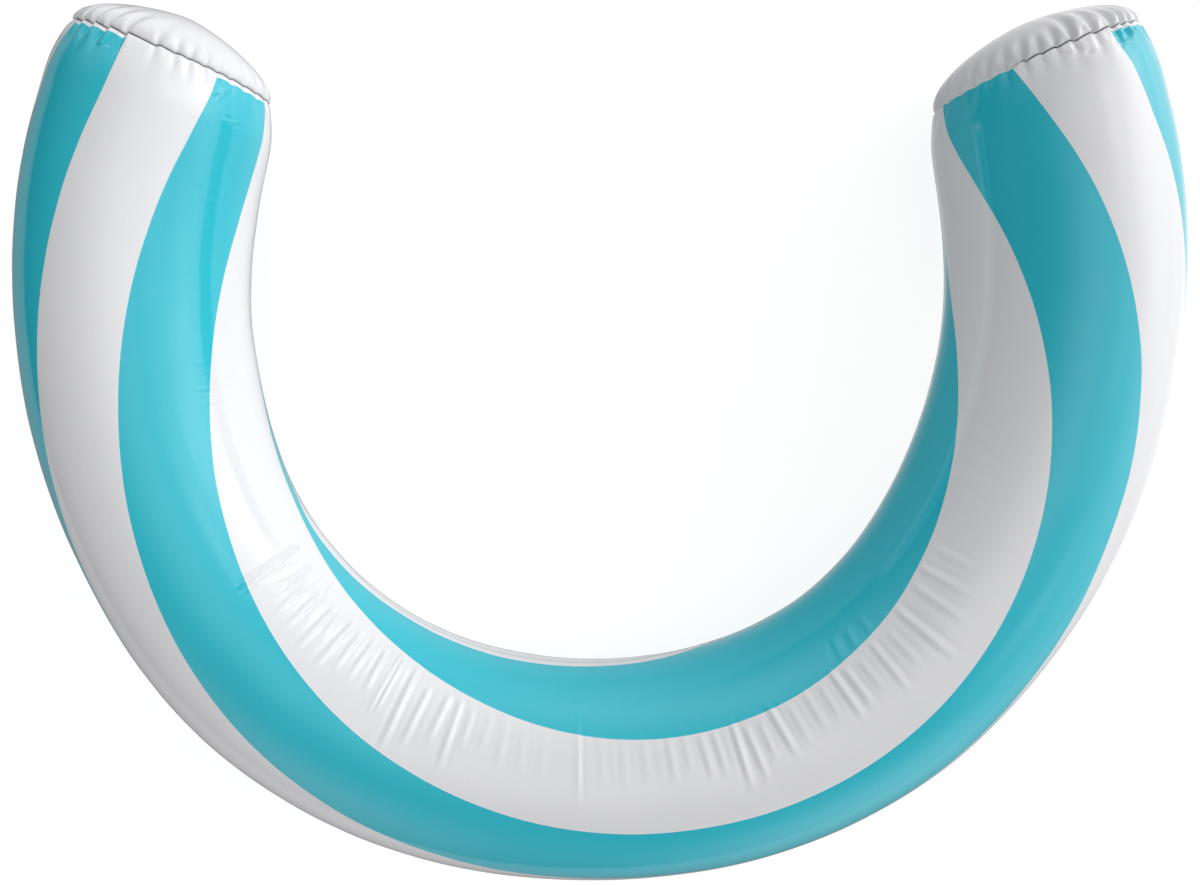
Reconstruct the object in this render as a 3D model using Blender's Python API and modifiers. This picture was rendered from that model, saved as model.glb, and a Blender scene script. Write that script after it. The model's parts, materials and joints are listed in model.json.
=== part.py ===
"""U-shaped inflatable pool float.

A fat tube of thin vinyl film, bent through about 230 degrees and lying flat with its
open end towards +Y. The tube is two film panels, lapped and welded along the tube's
outer side and along its inner side, with a domed film disc welded into each end. On the
outer side of the right arm sits the inflation valve: a welded flange, a stem that slides
flush into it, a check flap at the stem's foot, and a plug on a strap.

Units are metres, +Z is up, and the float stands on z = 0.
"""

import math

import bmesh
import bpy
from mathutils import Matrix, Vector

# ---------------------------------------------------------------- driving dimensions
BEND_RADIUS = 0.4764        # mean radius of the tube's centreline
TUBE_RADIUS = 0.1069        # radius of the blown-up tube
RIM_RADIUS = 0.0920         # radius of the weld ring at each end
END_ANGLE = math.radians(116.5)   # the tube's ends, turned from the middle of the bend

# The centreline is a ring that is slightly long for its width. Each term is a share of
# the bend radius, on the cosine of 2, 3, 4 and 5 times the turn from the middle.
OVAL = (0.0498, -0.0138, 0.0009, -0.0055)
ARM_SKEW = -0.0092          # the right arm is blown up a touch tighter than the left

SLOW_TAPER = 0.0068         # how much the tube narrows along the last part of an arm
SLOW_TAPER_TURN = 0.55      # the turn, in radians, over which it does
END_TAPER = TUBE_RADIUS - RIM_RADIUS - SLOW_TAPER   # the rounding into the weld ring
END_TAPER_TURN = 0.105
END_LEAN = math.radians(-3.0)     # each weld ring faces a little outwards
END_SHIFT = 0.0059          # and lies a little outside the centreline
END_SHIFT_TURN = 0.17

FILM = 0.0003               # film thickness
GAP = 0.0003                # room between faces that touch
FACET = math.radians(15.0)  # the tube's section is a polygon, flat underneath
SECTIONS = 56               # steps along the tube

OUTER_SEAM = math.radians(352.5)  # round the section from its outermost point,
INNER_SEAM = math.radians(187.5)  # going over the top to the inner side
LAP = math.radians(3.2)     # width of the lapped weld, about 6 mm
JOG = math.radians(0.16)    # half the width of the step under the lap

DOME_HEIGHT = 0.0440        # how far an end cap bulges
DOME_POWER = 1.25           # roundness of the bulge
SKIRT = 0.0060              # the cap's rim, turned in and welded inside the tube
SKIRT_ROOM = 0.00125        # the film and gaps outside the skirt

# Valve. Its own axis is the tube's outward normal where it sits.
VALVE_TURN = math.radians(75.0)   # along the right arm
VALVE_ROUND = math.radians(-30.0) # below the outermost line
HOLE_R = 0.0105             # hole in the film
FLANGE_R, FLANGE_T = 0.0180, 0.0010
COLLAR_IN, COLLAR_OUT = 0.0086, 0.0098
COLLAR_TOP, COLLAR_FOOT = 0.0020, -0.0120
STEM_BORE, STEM_R = 0.0034, 0.0049
LIP_R, LIP_TOP, LIP_T = 0.0082, 0.0012, 0.0014
FOOT_R, FOOT_TOP, FOOT_T = 0.0091, -0.0245, 0.0015
STEM_TRAVEL = 0.0120
PLUG_HEAD_R, PLUG_HEAD_T = 0.0060, 0.0018
PLUG_SHANK_R, PLUG_SHANK_L = 0.0031, 0.0085
STRAP_W, STRAP_T = 0.0030, 0.0008
FLAP_R, FLAP_T = 0.0042, 0.0008
HINGE_X = 0.0060            # the flap's hinge line, from the stem's axis
ROUND_STEPS = 24


# ---------------------------------------------------------------- scene and materials
for old in list(bpy.data.objects):
    bpy.data.objects.remove(old, do_unlink=True)

parts = bpy.data.collections.new("u_shaped_pool_float")
cutters = bpy.data.collections.new("cutters")
bpy.context.scene.collection.children.link(parts)
bpy.context.scene.collection.children.link(cutters)


def vinyl(name, colour, roughness):
    mat = bpy.data.materials.new(name)
    mat.use_nodes = True
    shader = mat.node_tree.nodes["Principled BSDF"]
    shader.inputs["Base Color"].default_value = (*colour, 1.0)
    shader.inputs["Roughness"].default_value = roughness
    shader.inputs["Metallic"].default_value = 0.0
    return mat


TURQUOISE = vinyl("turquoise_vinyl", (0.055, 0.50, 0.60), 0.22)
TURQUOISE_BACK = vinyl("turquoise_vinyl_back", (0.050, 0.46, 0.56), 0.24)
WHITE_LEFT = vinyl("white_vinyl_left", (0.82, 0.82, 0.84), 0.24)
WHITE_RIGHT = vinyl("white_vinyl_right", (0.80, 0.80, 0.82), 0.24)
CLEAR_FLANGE = vinyl("flange_vinyl", (0.86, 0.88, 0.90), 0.30)
CLEAR_STEM = vinyl("stem_vinyl", (0.84, 0.86, 0.88), 0.32)
CLEAR_FLAP = vinyl("flap_vinyl", (0.78, 0.80, 0.82), 0.38)
CLEAR_PLUG = vinyl("plug_vinyl", (0.86, 0.87, 0.88), 0.28)
CLEAR_STRAP = vinyl("strap_vinyl", (0.85, 0.87, 0.89), 0.30)


def add(name, mesh, mat, collection=parts, matrix=Matrix.Identity(4), smooth=True):
    obj = bpy.data.objects.new(name, mesh)
    collection.objects.link(obj)
    obj.matrix_world = matrix
    if mat is not None:
        mesh.materials.append(mat)
    if smooth:
        mesh.shade_smooth()
        mesh.set_sharp_from_angle(angle=math.radians(35))
    return obj


# ---------------------------------------------------------------- the tube's geometry
def centreline_radius(turn):
    r = 1.0 + ARM_SKEW * math.sin(2 * turn)
    for k, share in enumerate(OVAL):
        r += share * math.cos((k + 2) * turn)
    return BEND_RADIUS * r


def centreline(turn):
    r = centreline_radius(turn)
    return Vector((r * math.sin(turn), -r * math.cos(turn), 0.0))


def frame_at(turn):
    """Centre, direction along the tube and outward direction at a turn from the middle."""
    step = 1e-4
    along = (centreline(turn + step) - centreline(turn - step)).normalized()
    outward = Vector((along.y, -along.x, 0.0))
    centre = centreline(turn)
    left = END_ANGLE - abs(turn)
    bend = max(0.0, 1.0 - left / END_SHIFT_TURN) ** 2
    lean = END_LEAN * bend * (1.0 if turn > 0 else -1.0)
    centre = centre + outward * END_SHIFT * bend
    spin = Matrix.Rotation(lean, 3, "Z")
    return centre, spin @ along, spin @ outward


def tube_radius(turn):
    left = END_ANGLE - abs(turn)
    slow = max(0.0, 1.0 - left / SLOW_TAPER_TURN) ** 3
    fast = max(0.0, 1.0 - left / END_TAPER_TURN) ** 2
    return TUBE_RADIUS - SLOW_TAPER * slow - END_TAPER * fast


def section_reach(round_angle):
    """The polygon's distance from its centre, as a share of its inner radius."""
    off = (round_angle + FACET / 2) % FACET - FACET / 2
    return 1.0 / math.cos(off)


def on_tube(turn, round_angle, inset=0.0):
    centre, _, outward = frame_at(turn)
    r = tube_radius(turn) * section_reach(round_angle) - inset
    return centre + outward * (r * math.cos(round_angle)) + Vector((0, 0, r * math.sin(round_angle)))


def station(u):
    """Turn for a share u of the way along the tube, with closer steps at the ends."""
    t = 2.0 * u - 1.0
    return END_ANGLE * (1.35 * t - 0.35 * t ** 3)


def film_panel(name, columns, mat):
    """A sheet with one column of points for each (angle round the section, inset)."""
    bm = bmesh.new()
    bmesh.ops.create_grid(bm, x_segments=SECTIONS, y_segments=len(columns) - 1, size=1.0)
    for v in bm.verts:
        j = round((v.co.y + 1.0) / 2.0 * (len(columns) - 1))
        angle, inset = columns[j]
        v.co = on_tube(station((v.co.x + 1.0) / 2.0), angle, inset) + Vector((0, 0, TUBE_RADIUS))
    mesh = bpy.data.meshes.new(name)
    bm.normal_update()
    bm.to_mesh(mesh)
    bm.free()
    obj = add(name, mesh, mat)
    solid = obj.modifiers.new("film", "SOLIDIFY")
    solid.thickness = FILM
    solid.offset = -1.0
    solid.use_even_offset = True
    return obj


def facets(first, last):
    """Polygon corners strictly between two angles."""
    k = math.ceil((first + 1e-6 + FACET / 2) / FACET)
    out = []
    while k * FACET - FACET / 2 < last - 1e-6:
        out.append((k * FACET - FACET / 2, 0.0))
        k += 1
    return out


EDGE = math.radians(0.25)
UNDER = FILM + GAP
front_columns = (
    [(OUTER_SEAM - 2 * math.pi + EDGE, 0.0)]
    + facets(OUTER_SEAM - 2 * math.pi, INNER_SEAM)
    + [(INNER_SEAM - EDGE, 0.0)]
)
back_columns = (
    [(INNER_SEAM - LAP, UNDER), (INNER_SEAM - JOG, UNDER), (INNER_SEAM + JOG, 0.0)]
    + facets(INNER_SEAM, OUTER_SEAM)
    + [(OUTER_SEAM - JOG, 0.0), (OUTER_SEAM + JOG, UNDER), (OUTER_SEAM + LAP, UNDER)]
)
front_skin = film_panel("front_skin", front_columns, TURQUOISE)
back_skin = film_panel("back_skin", back_columns, TURQUOISE_BACK)


# ---------------------------------------------------------------- end caps
def turned(name, profile, mat, matrix, closed, collection=parts, steps=ROUND_STEPS):
    """A profile of (radius, height) points turned about Z. A closed one is a ring."""
    mesh = bpy.data.meshes.new(name)
    n = len(profile)
    edges = [(i, i + 1) for i in range(n - 1)] + ([(n - 1, 0)] if closed else [])
    mesh.from_pydata([(r, 0.0, z) for r, z in profile], edges, [])
    obj = add(name, mesh, mat, collection, matrix, smooth=False)
    screw = obj.modifiers.new("turn", "SCREW")
    screw.axis = "Z"
    screw.angle = 2 * math.pi
    screw.steps = screw.render_steps = steps
    screw.use_merge_vertices = True
    screw.merge_threshold = 0.00001
    screw.use_smooth_shade = True
    return obj


def end_cap(name, side, mat):
    centre, along, outward = frame_at(side * END_ANGLE)
    axis = along * side
    up = Vector((0, 0, 1))
    first = outward * math.cos(FACET / 2) + up * math.sin(FACET / 2)
    place = Matrix.Identity(4)
    for i, column in enumerate((first, axis.cross(first), axis, centre + up * TUBE_RADIUS)):
        for j in range(3):
            place[j][i] = column[j]
    base = (RIM_RADIUS - SKIRT_ROOM) / math.cos(FACET / 2)
    rings = 7
    profile = []
    for i in range(rings + 1):
        t = math.pi / 2 * (1.0 - i / rings)
        r = 0.0 if i == 0 else base * math.cos(t) ** DOME_POWER
        profile.append((r, GAP + DOME_HEIGHT * math.sin(t)))
    profile.append((base, -SKIRT))
    obj = turned(name, profile, mat, place, closed=False)
    solid = obj.modifiers.new("film", "SOLIDIFY")
    solid.thickness = FILM
    solid.offset = -1.0
    return obj


end_cap("left_end_cap", -1, WHITE_LEFT)
end_cap("right_end_cap", 1, WHITE_RIGHT)


# ---------------------------------------------------------------- valve
v_centre, v_along, v_out = frame_at(VALVE_TURN)
v_axis = (v_out * math.cos(VALVE_ROUND) + Vector((0, 0, math.sin(VALVE_ROUND)))).normalized()
v_x = -v_along                      # the strap lies along the tube, towards the bend
v_y = v_axis.cross(v_x)
v_at = v_centre + v_axis * TUBE_RADIUS + Vector((0, 0, TUBE_RADIUS))
VALVE = Matrix.Identity(4)
for i, column in enumerate((v_x, v_y, v_axis, v_at)):
    for j in range(3):
        VALVE[j][i] = column[j]

# The hole in the film.
bm = bmesh.new()
bmesh.ops.create_cone(bm, cap_ends=True, segments=ROUND_STEPS, radius1=HOLE_R, radius2=HOLE_R, depth=0.02)
hole_mesh = bpy.data.meshes.new("valve_hole")
bm.to_mesh(hole_mesh)
bm.free()
hole = add("valve_hole", hole_mesh, None, cutters, VALVE, smooth=False)
hole.hide_render = True
hole.display_type = "WIRE"
cut = back_skin.modifiers.new("valve_hole", "BOOLEAN")
cut.operation = "DIFFERENCE"
cut.object = hole

# Flange: a thin disc on the film with a raised collar through the hole.
turned(
    "valve_flange",
    [
        (COLLAR_IN, COLLAR_TOP - 0.0002),
        (COLLAR_IN + 0.0003, COLLAR_TOP),
        (COLLAR_OUT - 0.0003, COLLAR_TOP),
        (COLLAR_OUT, COLLAR_TOP - 0.0003),
        (COLLAR_OUT + 0.0004, GAP + FLANGE_T),
        (FLANGE_R - 0.0012, GAP + FLANGE_T),
        (FLANGE_R, GAP + 0.0004),
        (FLANGE_R, GAP),
        (COLLAR_OUT, GAP),
        (COLLAR_OUT, COLLAR_FOOT + 0.0003),
        (COLLAR_OUT - 0.0003, COLLAR_FOOT),
        (COLLAR_IN, COLLAR_FOOT),
    ],
    CLEAR_FLANGE,
    VALVE,
    closed=True,
)

# The moving pieces hang from empties on their joint axes.
stem_axis = bpy.data.objects.new("stem_axis", None)
parts.objects.link(stem_axis)
stem_axis.matrix_world = VALVE

stem = turned(
    "valve_stem",
    [
        (STEM_BORE, LIP_TOP),
        (LIP_R - 0.0003, LIP_TOP),
        (LIP_R, LIP_TOP - 0.0003),
        (LIP_R, LIP_TOP - LIP_T),
        (STEM_R + 0.0005, LIP_TOP - LIP_T),
        (STEM_R, LIP_TOP - LIP_T - 0.0008),
        (STEM_R, FOOT_TOP + 0.0006),
        (STEM_R + 0.0005, FOOT_TOP),
        (FOOT_R, FOOT_TOP),
        (FOOT_R, FOOT_TOP - FOOT_T),
        (STEM_BORE, FOOT_TOP - FOOT_T),
    ],
    CLEAR_STEM,
    VALVE,
    closed=True,
)
stem.parent = stem_axis
stem.matrix_parent_inverse = stem_axis.matrix_world.inverted()

head_under = LIP_TOP + GAP
plug = turned(
    "valve_plug",
    [
        (0.0, head_under + PLUG_HEAD_T),
        (0.0030, head_under + PLUG_HEAD_T),
        (0.0052, head_under + PLUG_HEAD_T - 0.0002),
        (PLUG_HEAD_R, head_under + PLUG_HEAD_T - 0.0008),
        (PLUG_HEAD_R, head_under + 0.0003),
        (PLUG_HEAD_R - 0.0003, head_under),
        (PLUG_SHANK_R, head_under),
        (PLUG_SHANK_R, head_under - PLUG_SHANK_L + 0.0022),
        (PLUG_SHANK_R - 0.0006, head_under - PLUG_SHANK_L + 0.0004),
        (PLUG_SHANK_R - 0.0012, head_under - PLUG_SHANK_L),
        (0.0, head_under - PLUG_SHANK_L),
    ],
    CLEAR_PLUG,
    VALVE,
    closed=False,
)
plug.parent = stem_axis
plug.matrix_parent_inverse = stem_axis.matrix_world.inverted()

# Check flap: a soft disc with a tab, closing the bore from inside the float.
flap_top = FOOT_TOP - FOOT_T - GAP
flap_mid = flap_top - FLAP_T / 2
flap_hinge = bpy.data.objects.new("flap_hinge", None)
parts.objects.link(flap_hinge)
FLAP = VALVE @ Matrix.Translation((HINGE_X, 0.0, flap_mid))
flap_hinge.matrix_world = FLAP
bm = bmesh.new()
bmesh.ops.create_cone(
    bm, cap_ends=True, segments=ROUND_STEPS, radius1=FLAP_R, radius2=FLAP_R, depth=FLAP_T,
    matrix=Matrix.Translation((-HINGE_X, 0, 0)),
)
flap_mesh = bpy.data.meshes.new("valve_flap")
bm.to_mesh(flap_mesh)
bm.free()
flap = add("valve_flap", flap_mesh, CLEAR_FLAP, parts, FLAP)
flap.parent = flap_hinge
flap.matrix_parent_inverse = flap_hinge.matrix_world.inverted()
bm = bmesh.new()
bmesh.ops.create_cube(bm, size=1.0)
for v in bm.verts:
    v.co = Vector((v.co.x * 0.0034 - 0.0014, v.co.y * 0.0036, v.co.z * FLAP_T))
tab_mesh = bpy.data.meshes.new("flap_tab")
bm.to_mesh(tab_mesh)
bm.free()
tab = add("flap_tab", tab_mesh, None, cutters, FLAP, smooth=False)
tab.hide_render = True
tab.display_type = "WIRE"
join = flap.modifiers.new("tab", "BOOLEAN")
join.operation = "UNION"
join.object = tab

# Strap: a flat ribbon that leaves the stem's lip, loops out over the collar and comes
# back onto the plug's head.
head_top = head_under + PLUG_HEAD_T
low = COLLAR_TOP + GAP + STRAP_T / 2 + 0.0001
high = head_top + GAP + STRAP_T / 2 + 0.0003
loop_r = (high - low) / 2


def strap_path():
    """Centre points (along, up) of the ribbon, from the lip to the plug's head."""
    pts = [(0.0071, LIP_TOP + GAP + STRAP_T / 2 - 0.0001)]
    pts += [(0.0074, LIP_TOP + GAP + STRAP_T * 0.75), (0.0082, low)]
    pts += [(0.0105, low), (0.0130, low)]
    for i in range(1, 8):
        a = -math.pi / 2 + math.pi * i / 8
        pts.append((0.0140 + loop_r * 1.6 * math.cos(a), low + loop_r + loop_r * math.sin(a)))
    pts += [(0.0130, high), (0.0100, high), (0.0072, high), (0.0050, high), (0.0032, high)]
    return pts


bm = bmesh.new()
rows = []
path = strap_path()
for i, (px, pz) in enumerate(path):
    ax, az = path[max(0, i - 1)]
    bx, bz = path[min(len(path) - 1, i + 1)]
    side = Vector((-(bz - az), bx - ax)).normalized() * (STRAP_T / 2)
    rows.append(
        [
            bm.verts.new((px + side.x * s, STRAP_W / 2 * w, pz + side.y * s))
            for s, w in ((-1, -1), (-1, 1), (1, 1), (1, -1))
        ]
    )
for a, b in zip(rows, rows[1:]):
    for k in range(4):
        bm.faces.new((a[k], a[(k + 1) % 4], b[(k + 1) % 4], b[k]))
bm.faces.new(rows[0][::-1])
bm.faces.new(rows[-1])
bmesh.ops.recalc_face_normals(bm, faces=bm.faces)
strap_mesh = bpy.data.meshes.new("valve_strap")
bm.to_mesh(strap_mesh)
bm.free()
strap = add("valve_strap", strap_mesh, CLEAR_STRAP, parts, VALVE)
strap.parent = stem_axis
strap.matrix_parent_inverse = stem_axis.matrix_world.inverted()

# ---------------------------------------------------------------- centre on the floor
# The float's box is centred on the origin. It reaches as far as the two film panels and
# the end caps do, so their widest points set the shift.
bpy.context.view_layer.update()
graph = bpy.context.evaluated_depsgraph_get()
xs, ys = [], []
for obj in parts.objects:
    if obj.type == "MESH":
        shown = obj.evaluated_get(graph)
        mesh = shown.to_mesh()
        for v in mesh.vertices:
            w = shown.matrix_world @ v.co
            xs.append(w.x)
            ys.append(w.y)
        shown.to_mesh_clear()
shift = Vector((-(min(xs) + max(xs)) / 2, -(min(ys) + max(ys)) / 2, 0.0))
for obj in list(parts.objects) + list(cutters.objects):
    if obj.parent is None:
        obj.matrix_world = Matrix.Translation(shift) @ obj.matrix_world
bpy.context.view_layer.update()
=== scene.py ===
"""Looks for the u-shaped pool float: glossy striped vinyl, blown up tight.

The film panels are rebuilt as fine meshes on the same centreline and section as the
solid model, with the printed stripes following the mesh's own rows, so that every
stripe edge is crisp. The wrinkles, gathers, pleats and lapped welds are geometry; the
thin dark line along the welds and at the rims is painted shade.
"""

import json
import math

import bmesh
import bpy
import numpy as np
from mathutils import Matrix, Vector

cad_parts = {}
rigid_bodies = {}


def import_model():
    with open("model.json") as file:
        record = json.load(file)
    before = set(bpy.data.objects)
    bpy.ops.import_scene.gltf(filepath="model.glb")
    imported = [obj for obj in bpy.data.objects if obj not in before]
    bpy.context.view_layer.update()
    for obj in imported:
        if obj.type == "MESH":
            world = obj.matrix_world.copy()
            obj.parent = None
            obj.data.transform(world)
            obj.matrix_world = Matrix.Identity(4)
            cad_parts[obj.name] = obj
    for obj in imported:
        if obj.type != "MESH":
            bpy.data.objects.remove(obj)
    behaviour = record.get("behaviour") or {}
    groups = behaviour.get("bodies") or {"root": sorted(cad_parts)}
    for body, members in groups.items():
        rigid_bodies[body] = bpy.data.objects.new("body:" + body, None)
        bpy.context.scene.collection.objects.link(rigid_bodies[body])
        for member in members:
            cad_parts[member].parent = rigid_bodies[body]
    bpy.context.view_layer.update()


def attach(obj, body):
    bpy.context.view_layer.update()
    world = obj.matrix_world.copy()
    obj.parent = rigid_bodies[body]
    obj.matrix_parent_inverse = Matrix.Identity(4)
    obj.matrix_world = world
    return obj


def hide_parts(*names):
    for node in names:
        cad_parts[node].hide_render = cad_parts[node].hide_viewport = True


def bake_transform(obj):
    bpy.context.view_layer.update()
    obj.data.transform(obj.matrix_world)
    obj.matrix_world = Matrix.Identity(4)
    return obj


for old in list(bpy.data.objects):
    bpy.data.objects.remove(old, do_unlink=True)

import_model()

RAD = math.pi / 180.0

# ---------------------------------------------------------------- the tube, as modelled
BEND_RADIUS = 0.4764
TUBE_RADIUS = 0.1069
OVAL = (0.0498, -0.0138, 0.0009, -0.0055)
ARM_SKEW = -0.0092
SLOW_TAPER, SLOW_TAPER_TURN = 0.0068, 0.55
END_TAPER_TURN = 0.105
END_SHIFT_TURN = 0.17
SHIFT = np.array([0.0001272, 0.1702669, 0.0])
OUTER_SEAM = -7.5                           # degrees round the section
LAP = 3.2                                   # degrees, about 6 mm
FILM = 0.0004

# The two ends were welded by hand and differ a little. Left first, then right.
END_TURN = (116.17 * RAD, 116.78 * RAD)
RIM = (0.0909, 0.0932)
LEAN = (-5.1 * RAD, -1.17 * RAD)
OUTSET = (0.0064, 0.0054)
DOME_H = (0.0465, 0.0423)
DOME_POWER = (1.475, 1.125)


def centre_radius(t):
    r = 1.0 + ARM_SKEW * np.sin(2 * t)
    for k, share in enumerate(OVAL):
        r = r + share * np.cos((k + 2) * t)
    return BEND_RADIUS * r


def centreline(t):
    r = centre_radius(t)
    return np.stack([r * np.sin(t), -r * np.cos(t), 0.0 * t], -1)


def by_side(t, pair):
    return np.where(t > 0, pair[1], pair[0])


def tube_frame(t):
    """Centre on the floor plane, direction along, outward direction, for turns t."""
    t = np.asarray(t, float)
    along = centreline(t + 1e-4) - centreline(t - 1e-4)
    along /= np.linalg.norm(along, axis=-1, keepdims=True)
    out = np.stack([along[..., 1], -along[..., 0], 0.0 * t], -1)
    left = by_side(t, END_TURN) - np.abs(t)
    bend = np.clip(1.0 - left / END_SHIFT_TURN, 0.0, None) ** 2
    lean = by_side(t, LEAN) * bend * np.where(t > 0, 1.0, -1.0)
    centre = centreline(t) + out * (by_side(t, OUTSET) * bend)[..., None] + SHIFT
    c, s = np.cos(lean), np.sin(lean)

    def turn(v):
        return np.stack([c * v[..., 0] - s * v[..., 1], s * v[..., 0] + c * v[..., 1], v[..., 2]], -1)

    return centre, turn(along), turn(out)


def tube_radius(t):
    left = by_side(t, END_TURN) - np.abs(t)
    slow = np.clip(1.0 - left / SLOW_TAPER_TURN, 0.0, 1.0) ** 3
    fast = np.clip(1.0 - left / END_TAPER_TURN, 0.0, 1.0) ** 2
    end = TUBE_RADIUS - by_side(t, RIM) - SLOW_TAPER
    return TUBE_RADIUS - SLOW_TAPER * slow - end * fast


def stripe_zero(t):
    """Where the edge between the two top stripes lies, in degrees round the section."""
    return (
        151.9
        - 71.95 * np.cos(t) + 7.56 * np.cos(2 * t) - 3.37 * np.cos(3 * t)
        - 17.51 * np.sin(t) - 6.57 * np.sin(2 * t) - 0.66 * np.sin(3 * t)
    )


def step(a, b, x):
    u = np.clip((x - a) / (b - a), 0.0, 1.0)
    return u * u * (3 - 2 * u)


def wrap(d):
    """Degrees, brought to -180..180."""
    return (np.asarray(d) + 180.0) % 360.0 - 180.0


# The inner weld wanders as the film twists: it shows along the bend, and by the left rim.
INNER_SEAM = (
    (-118, 187.5), (-114.5, 188.5), (-110, 192), (-105, 198), (-100, 201), (-60, 201), (-55, 199), (-50, 195),
    (-44, 191), (-36, 187), (-28, 185), (-20, 184), (-12, 183), (-4, 183), (4, 183.5), (9, 185), (13, 187.5),
    (17, 191.5), (22, 197), (27, 200), (34, 201), (118, 201),
)
# Where the front panel's print stops, short of that weld.
PRINT_END = (
    (-118, 184.4), (-114.5, 185.4), (-110, 189), (-105, 195.2), (-100, 198.3), (-62, 198.0), (-56, 190), (-52, 183.4),
    (-48, 182.0), (-44, 181.8), (-40, 181.4), (-32, 181.3), (-28, 181.4), (-24, 180.2), (-20, 179.4), (-16, 178.4),
    (-12, 177.6), (-8, 177.2), (-4, 177.5), (0, 177.9), (4, 178.2), (8, 178.9), (12, 180.4), (16, 184.0),
    (20, 190.5), (25, 196.0), (34, 198.2), (118, 198.2),
)
# The stripes' edges, as printed: how they drift from an even spacing round the tube.
DRIFT = {
    -2: ((-116.2, -5.0), (-115.5, -4.7), (-113.7, -2.7), (-111.7, -1.3), (-109.8, -0.5), (-105.9, 0.4), (-101.8, 1.2),
         (-95.7, 1.5), (-89.3, 1.1), (-82.3, 0.5), (-75, -0.1), (-68.6, -0.5), (-55, 0), (90, 0), (104, -0.1),
         (106, 0.3), (107.5, 0.0), (108.7, -0.9), (110.6, -1.5), (112.5, -2.6), (114, -2.2), (115.4, -2.5),
         (116.8, -3.3)),
    -1: ((-115.3, -0.4), (-110.3, -1.4), (-105.5, -0.7), (-95, 0), (-80, -0.4), (-63, -0.6), (-50, 0), (-35, 0.2),
         (-21.6, 0.6), (-14.1, 1.7), (20, 2.2), (50, 2.4), (62.5, 2.3), (66.5, 1.1), (70.8, -0.4), (75.4, -1.0),
         (82.8, -1.3), (90, -0.5), (96, 0.2), (104.5, 1.0), (110.6, 1.7), (114.7, 2.5), (116.8, 4.1)),
    0: ((-116, -4.4), (-110.2, -3.2), (-104, -0.6), (-98.3, 0.2), (-92, -0.5), (-86.5, -1.3), (-74.3, -2.4),
        (-62.6, -3.0), (-52.3, -2.0), (-43.3, -1.3), (-34.9, -0.9), (-19.6, -0.9), (-12, -1.3), (-4, -1.9), (5.1, -2.0),
        (14.2, -1.3), (22, -1.1), (29, -0.8), (43, -0.8), (58.4, -1.4), (67.2, -1.6), (77.5, -1.3), (87, 0.0),
        (95.9, 2.1), (105.3, 5.4), (116, 8.4)),
    1: ((-118, 0), (-70, 3.0), (-52.4, 3.0), (-46.1, 2.6), (-40.2, 2.4), (-28.8, 2.4), (-23.4, 2.1), (-18, 1.6),
        (-12.9, 1.0), (-7.7, 0.3), (-2.3, -0.3), (3.4, -0.6), (9.7, -0.5), (15.4, 0.1), (20.6, 0.8), (25.7, 1.1),
        (30.5, 1.5), (35.3, 1.9), (40.1, 1.7), (45, 1.3), (50.1, 1.2), (55.3, 0.6), (60.9, 0.3), (66.9, 0.0),
        (73.6, 0.4), (80.9, 1.5), (87.8, 4.0), (100, 8), (118, 10)),
}
TURNS_TABLE = np.arange(-120.0, 120.01, 0.1)


def smooth_table(points, sigma=1.0):
    """A table over the turns, rounded off between the points that it is given."""
    flat = np.interp(TURNS_TABLE, [a for a, _ in points], [b for _, b in points])
    k = np.arange(-60, 61) * 0.1
    w = np.exp(-(k / sigma) ** 2 / 2)
    return np.convolve(np.concatenate([np.full(60, flat[0]), flat, np.full(60, flat[-1])]), w / w.sum(), "valid")


SEAM_TABLE = smooth_table(INNER_SEAM, 1.6)
PRINT_TABLE = np.minimum(smooth_table(PRINT_END, 1.6), SEAM_TABLE - 1.9)
DRIFT_TABLES = {k: smooth_table(v, 0.6 if k == -2 else 1.0) for k, v in DRIFT.items()}


def at_turn(table, t):
    return np.interp(np.asarray(t) / RAD, TURNS_TABLE, table)


def drifted(psi, t):
    """The angle round the tube at which the row psi lies at the turn t."""
    marks = np.array([-135.0, -90.0, -45.0, 0.0, 45.0, 90.0])
    moves = np.array([0.0] + [float(at_turn(DRIFT_TABLES[k], t)) for k in (-2, -1, 0, 1)] + [0.0])
    p = wrap(psi)
    return psi + np.interp(p, marks, moves)


BULGE_TABLE = smooth_table((
    (-114, 0), (-108, -1.3), (-92, -1.7), (-84, -2.6), (-80, -0.9), (-72, 0), (-66, -0.4), (-60, -1.3), (-54, -0.8),
    (-48, 0.6), (-44, 1.3), (-30, 2.0), (-18, 2.3), (-6, 2.3), (2, 1.8), (10, 1.0), (16, 0), (22, -1.2), (28, -1.8),
    (36, -3.1), (50, -1.9), (60, -1.3), (68, -1.8), (76, -2.6), (82, -3.4), (88, -2.9), (94, -1.8), (100, -0.6), (112, 0),
), 2.0)
OUTER_TABLE = smooth_table((
    (-76, 0), (-66, -1.2), (-59, -2.4), (-53, -1.9), (-46, -0.2), (-38, 1.2), (-28, 0.4), (-16, 0), (-6, -1.2),
    (0, -1.9), (8, -1.2), (18, 0), (28, 0), (36, 0.9), (44, -0.9), (52, -1.2), (58, 0), (120, 0),
), 2.5)


def silhouette(t, phi):
    """Where the float is a little fuller or slimmer than its even section, in metres."""
    inner = at_turn(BULGE_TABLE, t) * np.exp(-(wrap(phi - 198.0) / 15.0) ** 2)
    return 0.001 * (inner + at_turn(OUTER_TABLE, t) * np.exp(-(wrap(phi - 30.0) / 18.0) ** 2))


SPEED = [float(np.linalg.norm(centreline(np.array(s * e + 1e-4)) - centreline(np.array(s * e - 1e-4))) / 2e-4)
         for s, e in ((-1, END_TURN[0]), (1, END_TURN[1]))]

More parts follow.
